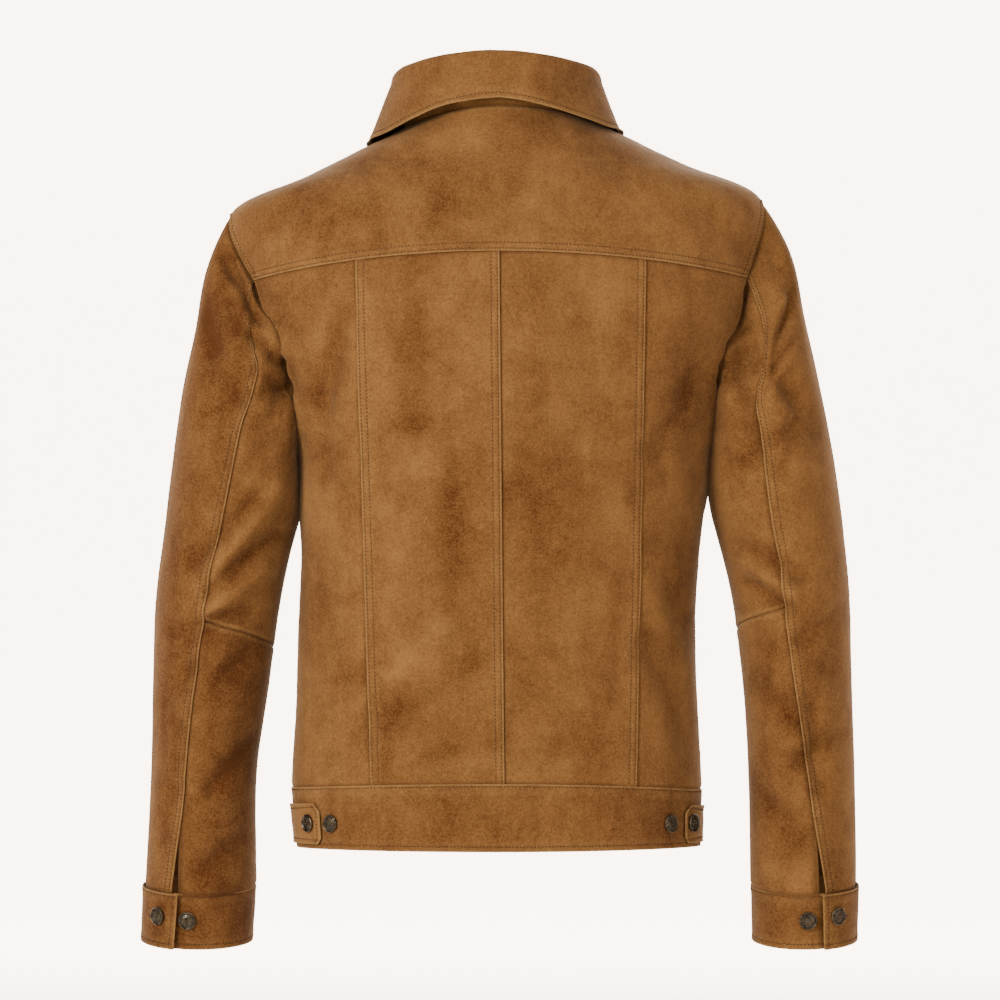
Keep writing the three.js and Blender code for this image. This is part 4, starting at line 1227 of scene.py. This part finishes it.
def suede_material():
    material, shader, place = new_material("suede")
    panel, pale, shade = (attribute(place, name) for name in ("panel", "pale", "shade"))
    inside, fold = attribute(place, "inside"), attribute(place, "fold")
    away = place.node("ShaderNodeCombineXYZ", {}, {"X": panel * 3.1, "Y": panel * 1.7, "Z": panel * 2.3})
    hide = place.node("ShaderNodeVectorMath", {"operation": "ADD"}, {0: place, 1: away})
    clouds = noise(hide, 120, 2, 0.5) * 0.6 + noise(hide, 46, 4, 0.6, twist=0.5) * 0.95
    brush = noise(hide, 30, 3, 0.6, stretch=(1, 1, 0.32), twist=0.3) * 0.75
    spots = noise(hide, 15, 3, 0.6, twist=0.6) * 0.5
    nap, grain = noise(hide, 3.6, 3, 0.8), noise(hide, 1.8, 1, 0.6)
    fine = nap * 0.55 + grain * 0.85
    # Painted shade and light: fold darkens crease troughs and lightens ridges; tone adds hide tone with
    # painted shade and light.
    tone = clouds + brush + spots + fine - fold * 0.26 + attribute(place, "tone")
    cloth = blend((0.4 + tone * 0.62).clip(), SUEDE_DARK, SUEDE_LIGHT)
    worn = (pale * (0.62 + nap * 0.9)).clip()
    cloth = blend(worn * 0.6, cloth, SUEDE_PALE)
    # Painted shade at the seams, from the shade mark.
    painted_shade = (shade * (0.75 + nap * 0.8)).clip()
    cloth = blend(painted_shade * 0.5, cloth, SUEDE_PAINTED_SHADE)
    cloth = blend(inside * 0.55, cloth, SUEDE_INSIDE)
    height = nap * 0.00022 + grain * 0.00012 + noise(hide, 7, 3, 0.6) * 0.0004
    height = height + noise(hide, 22, 2, 0.5) * 0.0008
    bump = place.node("ShaderNodeBump", {}, {"Strength": 1.0, "Distance": 1.0, "Height": height})
    plug(shader, {"Base Color": cloth, "Roughness": 0.93 - nap * 0.1, "Normal": bump})
    plug(shader, {"Specular IOR Level": 0.08, "Sheen Weight": 0.08, "Sheen Roughness": 0.45})
    plug(shader, {"Sheen Tint": linear(255, 226, 190)})
    return material


suede = suede_material()
for piece in pieces.values():
    piece.data.materials.append(suede)
print("suede on", len(pieces), "pieces, with", len(suede.node_tree.nodes), "nodes")

# %% [markdown]
# ## Stitches
# A stitch is a short rounded length of thread lying along its row. Geometry Nodes set thousands of them: the
# tree turns each row into a curve, cuts it into even steps and puts one thread on each step, turned along
# the curve and a touch off it, as a machine's stitches are.

# %% Thread
def thread_material():
    material, shader, place = new_material("thread")
    ply = noise(place, 0.7, 2, 0.6)
    colour = blend((0.5 + noise(place, 25, 2) * 1.5 + ply).clip(), linear(36, 21, 10), linear(62, 39, 20))
    bump = place.node("ShaderNodeBump", {}, {"Strength": 0.6, "Distance": 1.0, "Height": ply * 0.0001})
    plug(shader, {"Base Color": colour, "Roughness": 0.8, "Normal": bump})
    plug(shader, {"Specular IOR Level": 0.1})
    return material


def new_tree(name, inputs):
    """A Geometry Nodes tree with one geometry in and out, and named number inputs."""
    tree = bpy.data.node_groups.new(name, "GeometryNodeTree")
    tree.interface.new_socket("Geometry", in_out="INPUT", socket_type="NodeSocketGeometry")
    tree.interface.new_socket("Geometry", in_out="OUTPUT", socket_type="NodeSocketGeometry")
    for key, kind in inputs.items():
        tree.interface.new_socket(key, in_out="INPUT", socket_type=kind)
    return tree, tree.nodes.new("NodeGroupInput"), tree.nodes.new("NodeGroupOutput")


def stitch_tree(material):
    numbers = {"Pitch": "NodeSocketFloat", "Length": "NodeSocketFloat", "Radius": "NodeSocketFloat",
               "Seed": "NodeSocketInt"}
    tree, start, end = new_tree("stitches along rows", numbers)
    nodes, link = tree.nodes, tree.links.new
    curve, steps = nodes.new("GeometryNodeMeshToCurve"), nodes.new("GeometryNodeResampleCurve")
    steps.mode = "LENGTH"
    thread, size = nodes.new("GeometryNodeMeshUVSphere"), nodes.new("ShaderNodeCombineXYZ")
    thread.inputs["Segments"].default_value, thread.inputs["Rings"].default_value = 6, 4
    thread.inputs["Radius"].default_value = 1.0
    tangent, turn = nodes.new("GeometryNodeInputTangent"), nodes.new("FunctionNodeAlignRotationToVector")
    turn.axis = "Z"
    jitter, tilt = nodes.new("FunctionNodeRandomValue"), nodes.new("FunctionNodeRotateRotation")
    jitter.data_type = "FLOAT_VECTOR"
    tilt.rotation_space = "LOCAL"
    place, real = nodes.new("GeometryNodeInstanceOnPoints"), nodes.new("GeometryNodeRealizeInstances")
    paint = nodes.new("GeometryNodeSetMaterial")
    paint.inputs["Material"].default_value = material
    smooth = nodes.new("GeometryNodeSetShadeSmooth")
    link(start.outputs["Geometry"], curve.inputs["Mesh"])
    link(curve.outputs["Curve"], steps.inputs["Curve"])
    link(start.outputs["Pitch"], steps.inputs["Length"])
    link(tangent.outputs["Tangent"], turn.inputs["Vector"])
    vectors = [slot for slot in jitter.inputs if slot.type == "VECTOR"]
    vectors[0].default_value, vectors[1].default_value = (-0.12, -0.12, 0), (0.12, 0.12, 0)
    link(start.outputs["Seed"], jitter.inputs["Seed"])
    link(turn.outputs["Rotation"], tilt.inputs["Rotation"])
    link(jitter.outputs["Value"], tilt.inputs["Rotate By"])
    link(start.outputs["Radius"], size.inputs["X"])
    link(start.outputs["Radius"], size.inputs["Y"])
    link(start.outputs["Length"], size.inputs["Z"])
    link(steps.outputs["Curve"], place.inputs["Points"])
    link(thread.outputs["Mesh"], place.inputs["Instance"])
    link(tilt.outputs["Rotation"], place.inputs["Rotation"])
    link(size.outputs["Vector"], place.inputs["Scale"])
    link(place.outputs["Instances"], real.inputs["Geometry"])
    link(real.outputs["Geometry"], smooth.inputs["Geometry"])
    link(smooth.outputs["Geometry"], paint.inputs["Geometry"])
    link(paint.outputs["Geometry"], end.inputs["Geometry"])
    return tree


def grown(source, tree, values):
    """Runs a tree on a mesh and keeps the result as a plain mesh object of the same name."""
    modifier = source.modifiers.new("grow", "NODES")
    modifier.node_group = tree
    ids = {item.name: item.identifier for item in tree.interface.items_tree if item.in_out == "INPUT"}
    for key, value in values.items():
        modifier[ids[key]] = value
    source.update_tag()
    bpy.context.view_layer.update()
    ready = source.evaluated_get(bpy.context.evaluated_depsgraph_get())
    mesh = bpy.data.meshes.new_from_object(ready)
    source.modifiers.remove(modifier)
    name = source.name
    bpy.data.objects.remove(source)
    made = bpy.data.objects.new(name, mesh)
    bpy.context.scene.collection.objects.link(made)
    return made


def line_mesh(name, lines):
    """One mesh of separate polylines, given in millimetres."""
    points = np.concatenate(lines) * MM
    edges, first = [], 0
    for line in lines:
        edges += [(k, k + 1) for k in range(first, first + len(line) - 1)]
        first += len(line)
    mesh = bpy.data.meshes.new(name)
    mesh.from_pydata(points.tolist(), edges, [])
    piece = bpy.data.objects.new(name, mesh)
    bpy.context.scene.collection.objects.link(piece)
    return piece


# %% [markdown]
# ### Rows of thread
# Every seam noted its rows while its panel was made. The rows of one part of the jacket become one mesh of
# lines, and the tree grows its thread on them.

# %% Rows of stitches
STITCH_PITCH, STITCH_LENGTH, STITCH_THICK = 3.2, 1.7, 1.1
threads, thread = {}, thread_material()
stitching = stitch_tree(thread)
for group in sorted({group for group, _ in stitch_rows}):
    lines = [line for owner, line in stitch_rows if owner == group and len(line) > 2]
    values = {"Pitch": STITCH_PITCH * MM, "Length": STITCH_LENGTH / 2 * MM}
    values.update({"Radius": STITCH_THICK / 2 * MM, "Seed": RNG_SEED})
    threads[f"stitches_{group}"] = grown(line_mesh(f"stitches_{group}", lines), stitching, values)
    print(f"stitches_{group}:", len(lines), "rows,", len(threads[f"stitches_{group}"].data.polygons), "faces")

# %% [markdown]
# ## Buttons
# Dark cast buttons with a domed middle, a raised rim and a rosette of beads. The turned body is a profile
# spun about its axis; the beads are set on three circles by Geometry Nodes. One button is made and its mesh
# is laid at every place.

# %% The button's metal and its shape
BUTTON_PROFILE = [
    (0, 2.55), (1.6, 2.5), (3.2, 2.3), (4.6, 1.9), (5.5, 1.5), (6.0, 1.35), (6.35, 1.6), (6.7, 2.3),
    (7.15, 2.6),
    (7.6, 2.45), (7.95, 1.9), (8.0, 1.2), (7.7, 0.5), (6.8, 0.1), (0, 0),
]
BEAD_CIRCLES = [  # count, circle, bead radius, height
    (12, 4.75, 0.62, 1.85),
    (6, 2.5, 0.8, 2.4),
    (1, 0.0, 1.1, 2.6),
]
GROOVE_IN, GROOVE_OUT = 5.2, 6.6  # the dark groove between the dome and the rim


def metal_material():
    material, shader, place = new_material("button_metal")
    hollow = attribute(place, "hollow")
    tarnish = (0.5 + noise(place, 3.0, 3, 0.6) * 2.4).clip()
    colour = blend(tarnish, linear(20, 17, 13), linear(84, 72, 54))
    colour = blend((hollow * 0.85).clip(), colour, linear(12, 9, 7))
    pits = noise(place, 0.9, 2) * 0.00012
    bump = place.node("ShaderNodeBump", {}, {"Strength": 0.5, "Distance": 1.0, "Height": pits})
    plug(shader, {"Base Color": colour, "Roughness": 0.24 + tarnish * 0.16, "Normal": bump})
    plug(shader, {"Metallic": 0.97 - hollow * 0.3})
    return material


def turned_body(name, profile, steps=40):
    """Spins a profile round the Z axis; its two ends are single points."""
    ring = np.radians(np.arange(steps) * 360 / steps)
    points = [(0, 0, profile[0][1])]
    for radius, height in profile[1:-1]:
        points += [(radius * math.cos(a), radius * math.sin(a), height) for a in ring]
    points.append((0, 0, profile[-1][1]))
    faces, rows = [], len(profile) - 2
    at = lambda j, i: 1 + j * steps + i % steps
    for i in range(steps):
        faces.append((0, at(0, i), at(0, i + 1)))
        faces += [(at(j, i), at(j + 1, i), at(j + 1, i + 1), at(j, i + 1)) for j in range(rows - 1)]
        faces.append((at(rows - 1, i), len(points) - 1, at(rows - 1, i + 1)))
    mesh = bpy.data.meshes.new(name)
    mesh.from_pydata((np.array(points) * MM).tolist(), [], faces)
    mesh.polygons.foreach_set("use_smooth", np.ones(len(faces), bool))
    away = [math.hypot(x, y) if z > 1 else math.inf for x, y, z in points]
    deep = [0.5 if r < GROOVE_IN else 0.9 * (GROOVE_IN < r < GROOVE_OUT) for r in away]
    mesh.attributes.new("hollow", "FLOAT", "POINT").data.foreach_set("value", deep)
    piece = bpy.data.objects.new(name, mesh)
    bpy.context.scene.collection.objects.link(piece)
    return piece


def bead_tree(material):
    tree, start, end = new_tree("rosette of beads", {})
    nodes, link = tree.nodes, tree.links.new
    join = nodes.new("GeometryNodeJoinGeometry")
    link(start.outputs["Geometry"], join.inputs["Geometry"])
    for count, circle, radius, height in BEAD_CIRCLES:
        ring, bead = nodes.new("GeometryNodeMeshCircle"), nodes.new("GeometryNodeMeshUVSphere")
        ring.inputs["Vertices"].default_value = max(3, count)
        ring.inputs["Radius"].default_value = max(circle, 0.01) * MM
        bead.inputs["Segments"].default_value, bead.inputs["Rings"].default_value = 8, 6
        bead.inputs["Radius"].default_value = radius * MM
        move, place = nodes.new("GeometryNodeTransform"), nodes.new("GeometryNodeInstanceOnPoints")
        move.inputs["Translation"].default_value = (0, 0, height * MM)
        link(ring.outputs["Mesh"], place.inputs["Points"])
        link(bead.outputs["Mesh"], place.inputs["Instance"])
        link(place.outputs["Instances"], move.inputs["Geometry"])
        real, smooth = nodes.new("GeometryNodeRealizeInstances"), nodes.new("GeometryNodeSetShadeSmooth")
        link(move.outputs["Geometry"], real.inputs["Geometry"])
        link(real.outputs["Geometry"], smooth.inputs["Geometry"])
        link(smooth.outputs["Geometry"], join.inputs["Geometry"])
    paint = nodes.new("GeometryNodeSetMaterial")
    paint.inputs["Material"].default_value = material
    link(join.outputs["Geometry"], paint.inputs["Geometry"])
    link(paint.outputs["Geometry"], end.inputs["Geometry"])
    return tree


# %% [markdown]
# ### Where the buttons sit
# Each button is looked up on the skin below it, by its place on the view from behind (or in front), and
# turned to lie on the cloth. Those on the cuff's flap and on the waist tabs go through a stitched
# buttonhole; a spare one beside each waits for a tighter fit.

# %% Button places
BUTTONS = [
    ("button_cuff_left_flap", "cuff_left", -300, -683, -1),
    ("button_cuff_left_spare", "cuff_left", -274, -687, -1),
    ("button_cuff_right_flap", "cuff_right", 298, -683, -1),
    ("button_cuff_right_spare", "cuff_right", 272, -687, -1),
    ("button_waist_left_tab", "waist_tab_left", -167, -600, -1),
    ("button_waist_left_spare", "waistband_back", -147, -600, -1),
    ("button_waist_right_tab", "waist_tab_right", 170, -600, -1),
    ("button_waist_right_spare", "waistband_back", 150, -600, -1),
]
FRONT_HEIGHTS = [-597, -492, -387, -282, -177, -72]
BUTTONS += [(f"button_front_{k + 1}", "placket_left", 0, z, 1) for k, z in enumerate(FRONT_HEIGHTS)]


def seat(on, x, z, facing):
    """Point and normal of the outermost skin at a place on the view; facing is -1 for the back."""
    outer, normals = skins[on]
    away = np.hypot(outer[..., 0] - x, outer[..., 2] - z) - 0.6 * facing * outer[..., 1]
    away = np.where(normals[..., 1] * facing > 0.15, away, 1e6)
    k = np.unravel_index(np.argmin(away), away.shape)
    point, normal = outer[k], normals[k]
    across = (x - point[0], z - point[2])
    y = point[1] - (normal[0] * across[0] + normal[2] * across[1]) / normal[1]
    return np.array([x, y, z]), normal


def lie_on(point, normal, lift):
    """A matrix that lays a mesh's Z axis along a normal and its X axis level."""
    level = unit(np.cross((0, 0, 1), normal))
    up = np.cross(normal, level)
    turned = Matrix((*zip(level, up, normal),)).to_4x4()
    return Matrix.Translation(Vector((point + normal * lift) * MM)) @ turned


metal = metal_material()
model = grown(turned_body("button_model", BUTTON_PROFILE), bead_tree(metal), {})
buttons, seats = {}, {}
for name, on, x, z, facing in BUTTONS:
    point, normal = seat(on, x, z, facing)
    mesh = model.data.copy()
    mesh.transform(lie_on(point, normal, 0.25))
    buttons[name] = bpy.data.objects.new(name, mesh)
    bpy.context.scene.collection.objects.link(buttons[name])
    seats[name] = (point, normal)
bpy.data.objects.remove(model)
print("buttons:", len(buttons), "with", len(mesh.polygons), "faces each")

# %% [markdown]
# ### Buttonholes
# A buttonhole is a slit with close stitches all round. Two flat rings of short stitches lie round each slit,
# on the side where the button pulls.

# %% Buttonholes
HOLE_HALF, HOLE_WIDE = 8.6, 1.3
holes = {}
for name in ("cuff_left_flap", "cuff_right_flap", "waist_left_tab", "waist_right_tab"):
    point, normal = seats[f"button_{name}"]
    side = -1 if "left" in name else 1
    level = unit(np.cross((0, 0, 1), normal))
    up = np.cross(normal, level)
    toward = level * (np.sign(level[0]) * side)
    lines = []
    for wide in (HOLE_WIDE, HOLE_WIDE - 0.7):
        turns = np.radians(np.arange(0, 361, 12))
        along_hole = np.clip(1.15 * np.cos(turns), -1, 1) * HOLE_HALF
        line = point + toward * (2.2 + along_hole)[:, None] + normal * 0.3
        line = line + up * (wide * np.sin(turns))[:, None]
        lines.append(line)
    values = {"Pitch": 1.0 * MM, "Length": 0.75 * MM, "Radius": 0.36 * MM, "Seed": RNG_SEED + 1}
    holes[f"buttonhole_{name}"] = grown(line_mesh(f"buttonhole_{name}", lines), stitching, values)

# %% [markdown]
# ## Camera, floor and light
# The photograph is a straight view of the back with long glass: hardly any perspective and a plain pale
# ground. One pixel of it is 0.88 mm at the jacket's middle, which sets the camera's place and lens. The stage
# is round, so that the camera can look from any side, and its far wall glows a little to stay pale.

# %% Camera, floor and light
PHOTO_SIZE = 1000
PIXEL = 0.88  # millimetres a pixel
VIEW_X, VIEW_Z = (PHOTO_SIZE / 2 - 499) * PIXEL, (140 - PHOTO_SIZE / 2) * PIXEL
CAMERA_AWAY = 12000


def add_camera():
    camera = bpy.data.objects.new("camera", bpy.data.cameras.new("camera"))
    bpy.context.scene.collection.objects.link(camera)
    camera.location = Vector((VIEW_X, -CAMERA_AWAY, VIEW_Z)) * MM
    camera.rotation_euler = (math.radians(90), 0, 0)
    camera.data.sensor_width = 36
    camera.data.lens = 36 * CAMERA_AWAY / (PHOTO_SIZE * PIXEL)
    camera.data.clip_end = 100
    bpy.context.scene.camera = camera


def pale_material(name, colour):
    material = bpy.data.materials.new(name)
    material.use_nodes = True
    shader = material.node_tree.nodes["Principled BSDF"]
    shader.inputs["Base Color"].default_value = (*colour, 1)
    shader.inputs["Roughness"].default_value = 0.9
    return material


def add_stage():
    """A round floor that curves up into a wall all round, wide enough to hold the camera."""
    floor_z, radius, curve = -1150, 16000, 2500
    profile = [(2, floor_z), (radius - curve, floor_z)]
    for k in range(1, 13):
        angle = math.radians(90 * k / 12)
        profile.append((radius - curve + curve * math.sin(angle), floor_z + curve * (1 - math.cos(angle))))
    profile.append((radius, 8000))
    steps = 64
    turns = np.radians(np.arange(steps) * 360 / steps)
    points = [(r * math.cos(t), r * math.sin(t), z) for r, z in profile for t in turns]
    quads = []
    for j in range(len(profile) - 1):
        for i in range(steps):
            near, far = j * steps, (j + 1) * steps
            quads.append((near + i, far + i, far + (i + 1) % steps, near + (i + 1) % steps))
    stage = mesh_piece("studio_backdrop", np.array(points), np.array(quads))
    paper = pale_material("backdrop_paper", (0.95, 0.905, 0.865))
    glow = paper.node_tree.nodes["Principled BSDF"]
    place = Wire(paper.node_tree, paper.node_tree.nodes.new("ShaderNodeTexCoord").outputs["Object"])
    far = place.node("ShaderNodeSeparateXYZ", {}, {"Vector": place}, out="Y")
    share = (far * 0.15 - 0.9).clip()
    plug(glow, {"Emission Color": blend(share, (0, 0, 0, 1), (1, 0.84, 0.72, 1)), "Emission Strength": 5.6})
    stage.data.materials.append(paper)


def add_light(name, place, size, power, colour=(1, 1, 1)):
    lamp = bpy.data.lights.new(name, "AREA")
    lamp.shape, lamp.size, lamp.energy, lamp.color = "DISK", size, power, colour
    light = bpy.data.objects.new(name, lamp)
    bpy.context.scene.collection.objects.link(light)
    light.location = Vector(place)
    aim = Vector((0, 0, -0.3)) - light.location
    light.rotation_euler = aim.to_track_quat("-Z", "Y").to_euler()


add_camera()
add_stage()
add_light("soft_key", (-2.4, -2.7, 0.9), 1.5, 290, (1, 0.98, 0.95))
add_light("soft_fill", (2.3, -2.7, 0.3), 2.2, 58)
add_light("soft_top", (0, -0.8, 2.6), 2.0, 40)
add_light("far_side", (0.6, 2.2, 1.4), 2.2, 72)
world = bpy.data.worlds.new("studio_air")
world.use_nodes = True
world.node_tree.nodes["Background"].inputs["Color"].default_value = (1, 0.98, 0.95, 1)
world.node_tree.nodes["Background"].inputs["Strength"].default_value = 0.72
bpy.context.scene.world = world

# %% [markdown]
# ## Taking the solids' places
# Each shell takes the place of its solid, which is hidden, and rides on the one body; so do the stitches,
# buttonholes and buttons, and each button's solid is hidden too.

# %% Riding on the body
for node, piece in pieces.items():
    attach(piece, "root")
    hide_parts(node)
for name, piece in {**threads, **holes}.items():
    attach(piece, "root")
for name, piece in buttons.items():
    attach(piece, "root")
    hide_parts(name)
